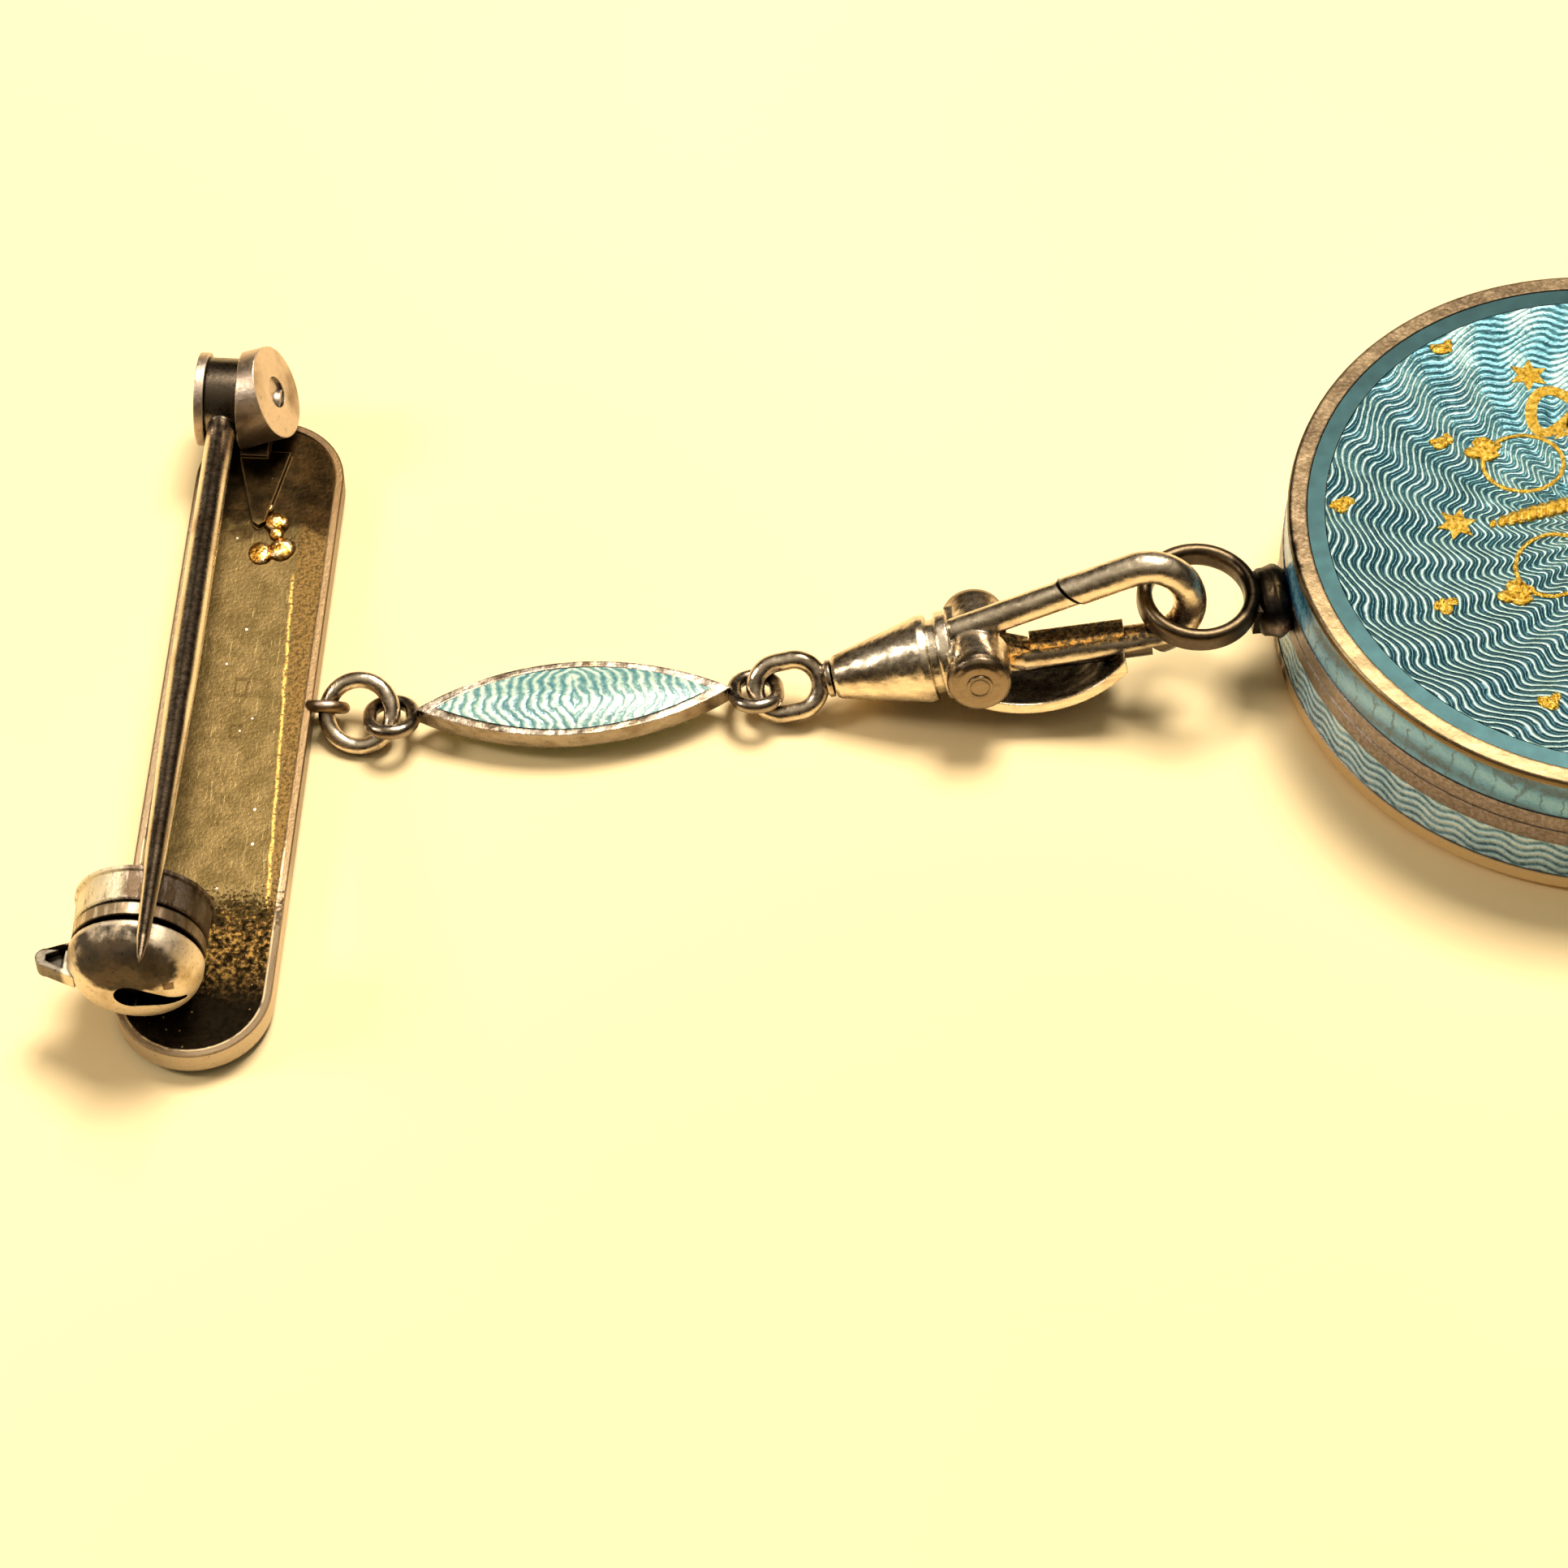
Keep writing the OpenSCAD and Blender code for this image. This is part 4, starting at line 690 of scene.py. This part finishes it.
def rock_crystal():
    """Ground and polished crystal: clear, with faint rubbing on its face."""
    material, tree, surface, at = new_finish("crystal_glass_polished", WATCH, Base_Color="F4F8F8",
                                             Transmission_Weight=1.0, IOR=1.52)
    rubbing = put(tree, "TexNoise", {"Vector": at, "Scale": 0.8, "Detail": 6.0})
    rough = put(tree, "MapRange", rubbing, 0.4, 0.8, 0.0, 0.05)
    put(tree, surface, {"Roughness": rough})
    return material


def blued_steel():
    """Heat blued steel of the hands: deep blue with a violet edge."""
    material, tree, surface, at = new_finish("spring_steel_blued", WATCH, Metallic=1.0, Roughness=0.22)
    heat = put(tree, "TexNoise", {"Vector": at, "Scale": 0.6, "Detail": 3.0})
    shade = put(tree, "ValToRGB", heat, stops=((0.35, "17243F"), (0.65, "2B3A78")))
    put(tree, surface, {"Base Color": shade})
    return material


def dress(node, material):
    """Gives a CAD node its finish."""
    NODES[node].data.materials.clear()
    NODES[node].data.materials.append(material)


# ---------------------------------------------------------------- modelling

def begin():
    """Nothing is selected and nothing is in edit mode."""
    if bpy.context.object and bpy.context.object.mode != "OBJECT":
        bpy.ops.object.mode_set(mode="OBJECT")
    bpy.ops.object.select_all(action="DESELECT")


def shape():
    """Opens the new primitive in edit mode, with all of it selected."""
    bpy.ops.object.mode_set(mode="EDIT")
    bpy.ops.mesh.select_all(action="SELECT")
    return bpy.context.object


def pick(piece, test):
    """Selects the faces of a piece in edit mode whose centre and normal pass a test."""
    bpy.ops.mesh.select_all(action="DESELECT")
    mesh = bmesh.from_edit_mesh(piece.data)
    for face in mesh.faces:
        if test(face.calc_center_median(), face.normal):
            face.select_set(True)
    bmesh.update_edit_mesh(piece.data)


def settle(piece, name, body, material, angle=50):
    """Puts the place of a new piece into its mesh, and gives it its name, finish and body."""
    begin()
    piece.select_set(True)
    bpy.context.view_layer.objects.active = piece
    bpy.ops.object.transform_apply(location=True, rotation=True, scale=True)
    bpy.ops.object.shade_smooth_by_angle(angle=radians(angle))
    piece.name = piece.data.name = name
    piece.data.materials.clear()
    piece.data.materials.append(material)
    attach(piece, body)


def join(pieces):
    """Joins pieces into the first."""
    bpy.ops.object.select_all(action="DESELECT")
    for piece in pieces:
        piece.select_set(True)
    bpy.context.view_layer.objects.active = pieces[0]
    if len(pieces) > 1:
        bpy.ops.object.join()
    return bpy.context.object


def repeat(master, places):
    """Copies a piece to each place, every copy with its own mesh, and joins the copies."""
    copies = []
    for place in places:
        copy = master.copy()
        copy.data = master.data.copy()
        bpy.context.collection.objects.link(copy)
        copy.matrix_world = place @ master.matrix_world
        copies.append(copy)
    bpy.data.objects.remove(master)
    return join(copies)


def on_back(x, y, turn=0.0, size=1.0, rise=0.0):
    """A place on the domed back of the watch, in its own millimetres."""
    height = BACK_EDGE + BACK_DOME * (1 - (x * x + y * y) / BACK_REACH_SQUARED) + rise
    return (matrix_of(WATCH) @ Matrix.Translation(Vector((x, y, height)) * MM)
            @ Matrix.Rotation(radians(turn), 4, "Z") @ Matrix.Scale(size, 4))


def solder_drops(looks):
    """Drops of solder on the back plate below the hinge."""
    r = looks.blob_radius
    begin()
    bpy.ops.mesh.primitive_uv_sphere_add(segments=32, ring_count=20, radius=r)
    drop = shape()
    pick(drop, lambda centre, normal: centre.z > 0)
    bpy.ops.transform.resize(value=(1.0, 1.0, 0.62), center_override=(0, 0, 0))
    bpy.ops.mesh.select_all(action="SELECT")
    bpy.ops.transform.vertex_random(offset=r * 0.1, seed=7)
    bpy.ops.mesh.vertices_smooth(factor=0.5, repeat=2)
    bpy.ops.object.mode_set(mode="OBJECT")
    bar = matrix_of(BAR)
    # Each drop's place in millimetres, its size and its turn in degrees
    spots = ((0.09, 9.2, 1.42, 1.0, 20), (0.98, 9.45, 1.44, 1.05, 140), (0.6, 10.85, 1.56, 0.9, 70),
             (0.66, 10.3, 1.5, 0.6, 200), (0.05, 11.6, 1.58, 0.55, 110))
    places = [bar @ Matrix.Translation(Vector((x, y, z)) * MM) @ Matrix.Rotation(radians(turn), 4, "Z")
              @ Matrix.Diagonal((size, size * 1.12, size * 0.8, 1)) for x, y, z, size, turn in spots]
    return repeat(drop, places)


def thumb_leaf():
    """The folded leaf in the thumb tab of the sleeve, hollow on top, darkened by the sleeve's painted
    shade.
    """
    begin()
    bpy.ops.mesh.primitive_cube_add(size=1.0 * MM, scale=(0.9, 1.02, 0.36))
    leaf = shape()
    pick(leaf, lambda centre, normal: normal.x < -0.9)
    bpy.ops.transform.resize(value=(1.0, 0.3, 0.8), center_override=(0, 0, 0))
    pick(leaf, lambda centre, normal: normal.z > 0.7)
    bpy.ops.mesh.inset(thickness=0.1 * MM, depth=-0.12 * MM)
    bpy.ops.object.mode_set(mode="OBJECT")
    leaf.matrix_world = matrix_of(BAR) @ Matrix.Translation(Vector((-5.26, -14.075, 4.12)) * MM)
    return leaf


def bow_root():
    """The rounded foot of the bow, with a waist and a groove where it meets the case."""
    begin()
    bpy.ops.mesh.primitive_uv_sphere_add(segments=36, ring_count=20, radius=1.0 * MM)
    foot = shape()
    bpy.ops.transform.resize(value=(1.05, 1.8, 1.3), center_override=(0, 0, 0))
    pick(foot, lambda centre, normal: -0.3 * MM < centre.x < 0.0)
    bpy.ops.transform.resize(value=(1.0, 0.93, 0.93), center_override=(0, 0, 0))
    pick(foot, lambda centre, normal: centre.x < -0.75 * MM)
    bpy.ops.transform.resize(value=(1.0, 0.8, 0.8), center_override=(0, 0, 0))
    bpy.ops.mesh.select_all(action="SELECT")
    bpy.ops.transform.vertex_random(offset=0.05 * MM, seed=4)
    bpy.ops.mesh.vertices_smooth(factor=0.5, repeat=1)
    bpy.ops.object.mode_set(mode="OBJECT")
    foot.matrix_world = matrix_of(WATCH) @ Matrix.Translation(Vector((-CASE_RADIUS - 0.6, 0, 4.175)) * MM)
    return foot


def rivet_washer():
    """A dished washer round the front head of the clip's rivet."""
    begin()
    bpy.ops.mesh.primitive_cylinder_add(vertices=48, radius=0.56 * MM, depth=0.12 * MM)
    washer = shape()
    pick(washer, lambda centre, normal: normal.z > 0.9)
    bpy.ops.mesh.inset(thickness=0.12 * MM, depth=0.0)
    bpy.ops.mesh.inset(thickness=0.06 * MM, depth=-0.05 * MM)
    bpy.ops.mesh.inset(thickness=0.08 * MM, depth=0.03 * MM)
    bpy.ops.object.mode_set(mode="OBJECT")
    washer.matrix_world = (matrix_of(CLIP) @ Matrix.Translation(Vector((0, -2.76, 0)) * MM)
                           @ Matrix.Rotation(radians(90), 4, "X"))
    return washer


def gold_star():
    """A six-pointed star of foil with a raised middle."""
    begin()
    bpy.ops.mesh.primitive_circle_add(vertices=12, radius=1.05 * MM, fill_type="NGON")
    star = shape()
    bpy.ops.mesh.select_all(action="DESELECT")
    mesh = bmesh.from_edit_mesh(star.data)
    for vertex in mesh.verts:
        turn = round(atan2(vertex.co.y, vertex.co.x) / (pi / 6))
        vertex.select_set(turn % 2 != 0)
    bmesh.update_edit_mesh(star.data)
    bpy.ops.transform.resize(value=(0.5, 0.5, 1.0), center_override=(0, 0, 0))
    bpy.ops.mesh.select_all(action="SELECT")
    bpy.ops.mesh.extrude_region_move(TRANSFORM_OT_translate={"value": (0, 0, 0.06 * MM)})
    pick(star, lambda centre, normal: normal.z > 0.9)
    bpy.ops.mesh.poke(offset=0.12 * MM)
    bpy.ops.mesh.select_all(action="SELECT")
    bpy.ops.transform.translate(value=(0, 0, -0.03 * MM))
    bpy.ops.mesh.normals_make_consistent(inside=False)
    bpy.ops.object.mode_set(mode="OBJECT")
    return star


def gold_nugget():
    """A crumpled grain of foil."""
    begin()
    bpy.ops.mesh.primitive_ico_sphere_add(subdivisions=3, radius=0.36 * MM)
    grain = shape()
    bpy.ops.transform.resize(value=(1.25, 0.85, 0.45), center_override=(0, 0, 0))
    bpy.ops.transform.vertex_random(offset=0.06 * MM, seed=3)
    bpy.ops.object.mode_set(mode="OBJECT")
    return grain


def gold_oval():
    """A fine oval ring of foil."""
    begin()
    bpy.ops.mesh.primitive_torus_add(major_segments=72, minor_segments=8, major_radius=1.6 * MM,
                                     minor_radius=0.1 * MM)
    ring = shape()
    bpy.ops.transform.resize(value=(1.08, 0.94, 0.5), center_override=(0, 0, 0))
    bpy.ops.transform.vertex_random(offset=0.02 * MM, seed=5)
    bpy.ops.object.mode_set(mode="OBJECT")
    return ring


def rope_bead():
    """One slanting strand of the rope bar."""
    begin()
    bpy.ops.mesh.primitive_uv_sphere_add(segments=20, ring_count=12, radius=0.5 * MM)
    bead = shape()
    bpy.ops.transform.resize(value=(0.62, 1.0, 0.5), center_override=(0, 0, 0))
    bpy.ops.transform.rotate(value=radians(38), orient_axis="Z", center_override=(0, 0, 0))
    bpy.ops.transform.vertex_random(offset=0.02 * MM, seed=2)
    bpy.ops.object.mode_set(mode="OBJECT")
    return bead


def ribbon(points, width):
    """A flat ribbon of foil along points, drawn out edge by edge."""
    begin()
    bpy.ops.mesh.primitive_plane_add(size=width)
    strip = shape()
    bpy.ops.mesh.select_all(action="DESELECT")
    mesh = bmesh.from_edit_mesh(strip.data)
    first = Vector(points[0])
    step = (Vector(points[1]) - first).normalized()
    side = Vector((-step.y, step.x, 0)) * width / 2
    corners = sorted(mesh.verts, key=lambda vertex: vertex.co.x)
    for vertex, sign in zip(corners[:2], (1, -1)):
        vertex.co = first - step * width * 0.1 + side * sign
    for vertex, sign in zip(corners[2:], (1, -1)):
        vertex.co = first + side * sign
        vertex.select_set(True)
    mesh.select_flush(True)
    bmesh.update_edit_mesh(strip.data)
    heading = atan2(step.y, step.x)
    for before, after in zip(points, points[1:]):
        move = Vector(after) - Vector(before)
        turn = (atan2(move.y, move.x) - heading + pi) % (2 * pi) - pi
        bpy.ops.mesh.extrude_region_move(TRANSFORM_OT_translate={"value": move})
        bpy.ops.transform.rotate(value=-turn, orient_axis="Z", center_override=after)
        heading += turn
    bpy.ops.object.mode_set(mode="OBJECT")
    thick = strip.modifiers.new("thickness", "SOLIDIFY")
    thick.thickness = 0.06 * MM
    thick.offset = 1.0
    bpy.ops.object.modifier_apply(modifier=thick.name)
    shape()
    bpy.ops.mesh.remove_doubles(threshold=0.001 * MM)
    bpy.ops.mesh.normals_make_consistent(inside=False)
    bpy.ops.object.mode_set(mode="OBJECT")
    return strip


def foil_bow():
    """The bow of foil: two loops, each drawn as half of an eight, and two wavy tails."""
    loop_width, tail_width, loop_points, tail_points, gap = 0.5 * MM, 0.42 * MM, 23, 12, 0.12
    ribbons = []
    for side in (-1, 1):
        loop = [(side * 2.6 * sin(t) * MM * (0.4 + 0.6 * sin(t / 2)), 1.5 * sin(2 * t) * MM * 0.75, 0.0)
                for t in [gap + i * (pi - 2 * gap) / (loop_points - 1) for i in range(loop_points)]]
        tail = [((side * (0.1 + 0.16 * i)) * MM, (-0.2 - 0.2 * i + 0.22 * sin(i * 1.1)) * MM, 0.0)
                for i in range(tail_points)]
        ribbons += [ribbon(loop, loop_width), ribbon(tail, tail_width)]
    return join(ribbons)


def dial_figures():
    """Plain numbers from 1 to 12 on the dial, which faces the floor with its 12 by the bow."""
    figure_size, ink_rise = 2.6 * MM, 0.01 * MM
    face = (matrix_of(WATCH) @ Matrix.Translation(Vector((0, 0, DIAL_FACE)) * MM)
            @ Matrix.Rotation(pi, 4, "X") @ Matrix.Rotation(pi / 2, 4, "Z"))
    figures = []
    for hour in range(1, 13):
        begin()
        bpy.ops.object.text_add()
        figure = bpy.context.object
        figure.data.body = str(hour)
        figure.data.size = figure_size
        figure.data.align_x = "CENTER"
        figure.data.align_y = "CENTER"
        figure.data.extrude = ink_rise
        bpy.ops.object.convert(target="MESH")
        turn = radians(30 * hour)
        place = Vector((sin(turn), cos(turn), 0)) * FIGURE_RADIUS * MM
        figure.matrix_world = face @ Matrix.Translation(place)
        figures.append(figure)
    return join(figures)


def minute_track():
    """Sixty short strokes round the edge of the dial."""
    begin()
    bpy.ops.mesh.primitive_cylinder_add(vertices=16, radius=0.14 * MM, depth=0.02 * MM)
    stroke = shape()
    bpy.ops.transform.resize(value=(0.5, 1.6, 1.0), center_override=(0, 0, 0))
    bpy.ops.object.mode_set(mode="OBJECT")
    out = Matrix.Translation(Vector((0, TRACK_RADIUS, DIAL_FACE)) * MM)
    return repeat(stroke, [matrix_of(WATCH) @ Matrix.Rotation(radians(6 * i), 4, "Z") @ out
                           for i in range(60)])


# ---------------------------------------------------------------- operators

class OBJECT_OT_dress_bar(bpy.types.Operator):
    """Finish the bar: worn gilt back, enamelled front and drops of solder"""
    bl_idname = "object.watch_pin_bar"
    bl_label = "Bar"

    def execute(self, context):
        looks = context.scene.watch_pin_bar
        dress("bar_metal", worn_gilt_silver(looks))
        dress("bar_enamel",
              enamel_over_cuts("slate_enamel_over_engine_turning", BAR, "22303F", "3F6275", "8FB4C0",
                               cross_cuts(0.5)))
        settle(solder_drops(looks), "solder_drops", "brooch", hard_solder())
        return {"FINISHED"}


class OBJECT_OT_dress_pin(bpy.types.Operator):
    """Finish the pin and the turning sleeve of its safety catch, with the leaf in its thumb tab"""
    bl_idname = "object.watch_pin_pin"
    bl_label = "Pin and catch"

    def execute(self, context):
        looks = context.scene.watch_pin_chain
        dress("pin_stem", pin_wire(looks))
        sleeve = turned_silver_sleeve(looks)
        dress("catch_sleeve", sleeve)
        settle(thumb_leaf(), "thumb_leaf", "sleeve", sleeve, 30)
        return {"FINISHED"}


class OBJECT_OT_dress_chain(bpy.types.Operator):
    """Finish the jump ring and the enamelled link"""
    bl_idname = "object.watch_pin_chain"
    bl_label = "Chain"

    def execute(self, context):
        looks = context.scene.watch_pin_chain
        dress("jump_ring", drawn_silver_wire("silver_jump_ring_drawn", LINK, looks))
        dress("link_metal", drawn_silver_wire("silver_link_pierced", LINK, looks, 0.4, 0.4, "9C8F80"))
        turquoise = enamel_over_cuts("turquoise_enamel_over_engine_turning", LINK, "4C8088",
                                     looks.turquoise, "D4E4D2", cross_cuts(looks.cut_spacing / MM), 0.02,
                                     metal=0.05, rough=(0.2, 0.32), coat=0.1)
        dress("link_enamel_top", turquoise)
        dress("link_enamel_bottom", turquoise)
        return {"FINISHED"}


class OBJECT_OT_dress_clip(bpy.types.Operator):
    """Finish the swivel clip, with a washer round its rivet"""
    bl_idname = "object.watch_pin_clip"
    bl_label = "Swivel clip"

    def execute(self, context):
        looks = context.scene.watch_pin_chain
        dress("swivel_eye", drawn_silver_wire("silver_eye_drawn", CLIP, looks, 0.6, 0.55))
        head = cast_silver_clip("silver_clip_cast_polished", looks, 0.3)
        dress("clip_head", head)
        dress("clip_hook", cast_silver_clip("silver_hook_cast_polished", looks, 0.35))
        settle(rivet_washer(), "rivet_washer", "clip", head, 30)
        return {"FINISHED"}


class OBJECT_OT_dress_case(bpy.types.Operator):
    """Finish the case of the watch, with the foot of its bow, and its dial side"""
    bl_idname = "object.watch_pin_case"
    bl_label = "Watch case and dial"

    def execute(self, context):
        case = satin_silver_case()
        dress("case_metal", case)
        settle(bow_root(), "bow_root", "hook_and_watch", case)
        dress("crystal", rock_crystal())
        dress("dial", plain_enamel("white_dial_enamel", "FAF7EC", "EFE9D8"))
        steel = blued_steel()
        dress("hour_hand", steel)
        dress("minute_hand", steel)
        ink = plain_enamel("black_dial_enamel", "16140F", "0C0B09")
        settle(dial_figures(), "dial_figures", "hook_and_watch", ink)
        settle(minute_track(), "minute_track", "hook_and_watch", ink)
        return {"FINISHED"}


class OBJECT_OT_dress_enamel(bpy.types.Operator):
    """Finish the enamel on the back and round the side of the watch"""
    bl_idname = "object.watch_pin_enamel"
    bl_label = "Watch enamel"

    def execute(self, context):
        looks = context.scene.watch_pin_watch
        dress("back_enamel",
              enamel_over_cuts("teal_enamel_over_wave_rings", WATCH, "204D5B", looks.teal, "B4D6D2",
                               wave_rings(looks), 0.08, metal=0.4, line=0.68, coat=0.0))
        dress("back_ring_enamel", plain_enamel("teal_enamel_plain", "213A3D", "182D30", WATCH, 0.85, 0.0))
        dress("upper_band_enamel",
              enamel_over_cuts("teal_enamel_crazed", WATCH, "1D4A68", "4A94C4", "80BCE4",
                               wave_bands(6, 1.9, 0.5), 0.01, upright_cracks(1.0, 5.1, 7.2), 0.2))
        dress("lower_band_enamel",
              enamel_over_cuts("pale_teal_enamel_over_wave_bands", WATCH, "265A82", "86BCE4", "CFE8FF",
                               wave_bands(46, 0.5, 0.17), 0.04, metal=0.25))
        return {"FINISHED"}


class OBJECT_OT_lay_foil(bpy.types.Operator):
    """Lay the gold foil on the back: a bow, a rope bar, oval rings, stars and grains"""
    bl_idname = "object.watch_pin_foil"
    bl_label = "Gold foil"

    def execute(self, context):
        looks = context.scene.watch_pin_watch
        gold = gold_foil(looks)
        rise = looks.foil_rise / MM
        # Where the motifs lie on the back, in millimetres, and how they are turned, in degrees
        stars = ((-6.7, 0.6, 8), (-2.1, 8.3, 20), (6.6, 3.1, 0), (2.4, -6.6, 15), (-1.2, -9.2, 40),
                 (4.9, 8.0, 10))
        grains = ((-5.5, 10.2), (-6.5, 5.0), (-11.3, 2.2), (-8.0, -3.6), (-4.7, -8.9), (0.8, 11.3),
                  (7.0, 9.0), (10.9, 3.6), (9.6, -5.2), (5.0, -9.9), (3.4, -3.6), (8.4, 0.0))
        clusters = ((-4.9, 4.4), (-5.0, -3.3), (4.8, 5.9), (5.0, -1.5))
        petals = ((0, 0), (0.42, 0.1), (0.1, 0.4), (-0.35, -0.12), (0.25, -0.32))
        ovals = ((-3.3, 3.5, 8), (-3.1, -2.0, 40), (3.3, 4.8, -8), (3.4, -0.9, 30))
        strands, rope_start, rope_step, rope_turn = 25, (-5.2, 0.45), (0.43, 0.082), 11
        settle(repeat(gold_star(), [on_back(x, y, turn, 0.85, rise - 0.04) for x, y, turn in stars]),
               "gold_stars", "hook_and_watch", gold)
        places = []
        for i, (x, y) in enumerate(grains):
            places += [on_back(x, y, 37 * i, 1.0, rise - 0.06),
                       on_back(x + 0.3, y + 0.22, 37 * i + 80, 0.7, rise - 0.06),
                       on_back(x - 0.28, y + 0.1, 37 * i + 140, 0.62, rise - 0.06)]
        for x, y in clusters:
            places += [on_back(x + dx, y + dy, 50 * dx, 1.0, rise - 0.05) for dx, dy in petals]
        settle(repeat(gold_nugget(), places), "gold_grains", "hook_and_watch", gold)
        settle(repeat(gold_oval(), [on_back(x, y, turn, 1.0, rise - 0.03) for x, y, turn in ovals]),
               "gold_ovals", "hook_and_watch", gold)
        # The strands of the rope grow smaller towards its two ends
        middle = strands // 2
        beads = [on_back(rope_start[0] + rope_step[0] * i, rope_start[1] + rope_step[1] * i, rope_turn,
                         1.0 - 0.5 * (abs(i - middle) / middle) ** 6, rise - 0.08) for i in range(strands)]
        settle(repeat(rope_bead(), beads), "gold_rope", "hook_and_watch", gold)
        bow = repeat(foil_bow(), [on_back(-0.3, 6.3, 4, 1.0, rise - 0.03)])
        settle(bow, "gold_bow", "hook_and_watch", gold, 30)
        return {"FINISHED"}


class OBJECT_OT_set_stage(bpy.types.Operator):
    """Set the floor, the soft lights and the camera"""
    bl_idname = "object.watch_pin_stage"
    bl_label = "Stage"

    def execute(self, context):
        looks = context.scene.watch_pin_stage
        scene = context.scene
        begin()
        bpy.ops.mesh.primitive_plane_add(size=3.0)
        floor = context.object
        floor.name = "floor"
        material, tree, surface, at = new_finish("paper_card_matt", Roughness=0.9)
        fibre = put(tree, "TexNoise", {"Vector": at, "Scale": 0.012, "Detail": 2.0})
        share = put(tree, "MapRange", fibre, 0.35, 0.65)
        shade = put(tree, "Mix", share, looks.floor, "FFE3AC", **COLOURS)
        put(tree, surface, {"Base Color": shade})
        floor.data.materials.append(material)
        # Each light's name, power, place and width, in metres: it faces the middle of the object
        lights = (("main_light", looks.key_power, (0.09, 0.249, 0.59), 0.24),
                  ("second_light", looks.fill_power, (-0.27, 0.0, 0.2), 0.07))
        for name, power, place, size in lights:
            begin()
            bpy.ops.object.light_add(type="AREA", location=place)
            light = context.object
            light.name = light.data.name = name
            light.data.energy = power
            light.data.size = size
            light.data.color = linear("FFF6E6")[:3]
            light.rotation_euler = Vector(place).to_track_quat("Z", "Y").to_euler()
        # Bright from above and dark near the horizon, which gives the metal its dark edges
        world = scene.world or bpy.data.worlds.new("studio")
        scene.world = world
        world.use_nodes = True
        tree = world.node_tree
        sky = ((0.0, "0A0704"), (1.0, "FFF4DE"), (0.4, "241B12"), (0.7, "7A6E5A"), (0.88, "C4B8A0"))
        part = put(tree, "SeparateXYZ", put(tree, "TexCoord").outputs["Generated"])
        room = put(tree, "ValToRGB", part.outputs["Z"], stops=sky)
        seen = put(tree, "LightPath").outputs["Is Camera Ray"]
        put(tree, tree.nodes["Background"], put(tree, "Mix", seen, room, looks.floor, **COLOURS), 0.8)
        # The photograph's view, worked out from the round watch and the straight bar
        eye, tilt, lens = (-9.3587, -118.393, 163.830), 35, 108.45
        begin()
        bpy.ops.object.camera_add(location=Vector(eye) * MM, rotation=(radians(tilt), 0, 0))
        camera = context.object
        camera.name = camera.data.name = "camera"
        camera.data.lens = lens
        camera.data.sensor_width = 36.0
        camera.data.clip_start = 0.01
        scene.camera = camera
        scene.view_settings.view_transform = "Standard"
        return {"FINISHED"}


OPERATORS = (OBJECT_OT_dress_bar, OBJECT_OT_dress_pin, OBJECT_OT_dress_chain, OBJECT_OT_dress_clip,
             OBJECT_OT_dress_case, OBJECT_OT_dress_enamel, OBJECT_OT_lay_foil, OBJECT_OT_set_stage)
GROUPS = (("watch_pin_bar", BarLooks), ("watch_pin_chain", ChainLooks), ("watch_pin_watch", WatchLooks),
          ("watch_pin_stage", StageLooks))


class VIEW3D_PT_watch_pin(bpy.types.Panel):
    """Sizes, colours and pieces of the watch pin"""
    bl_idname = "VIEW3D_PT_watch_pin"
    bl_label = "Chatelaine watch pin"
    bl_space_type = "VIEW_3D"
    bl_region_type = "UI"
    bl_category = "Watch pin"

    def draw(self, context):
        for name, group in GROUPS:
            box = self.layout.box()
            for prop in group.__annotations__:
                box.prop(getattr(context.scene, name), prop)
        for operator in OPERATORS:
            self.layout.operator(operator.bl_idname)


def register():
    for name, group in GROUPS:
        bpy.utils.register_class(group)
        setattr(bpy.types.Scene, name, bpy.props.PointerProperty(type=group))
    for operator in OPERATORS:
        bpy.utils.register_class(operator)
    bpy.utils.register_class(VIEW3D_PT_watch_pin)


def unregister():
    bpy.utils.unregister_class(VIEW3D_PT_watch_pin)
    for operator in reversed(OPERATORS):
        bpy.utils.unregister_class(operator)
    for name, group in reversed(GROUPS):
        delattr(bpy.types.Scene, name)
        bpy.utils.unregister_class(group)


def main():
    register()
    bpy.ops.object.watch_pin_bar()
    bpy.ops.object.watch_pin_pin()
    bpy.ops.object.watch_pin_chain()
    bpy.ops.object.watch_pin_clip()
    bpy.ops.object.watch_pin_case()
    bpy.ops.object.watch_pin_enamel()
    bpy.ops.object.watch_pin_foil()
    bpy.ops.object.watch_pin_stage()


if __name__ == "__main__":
    main()
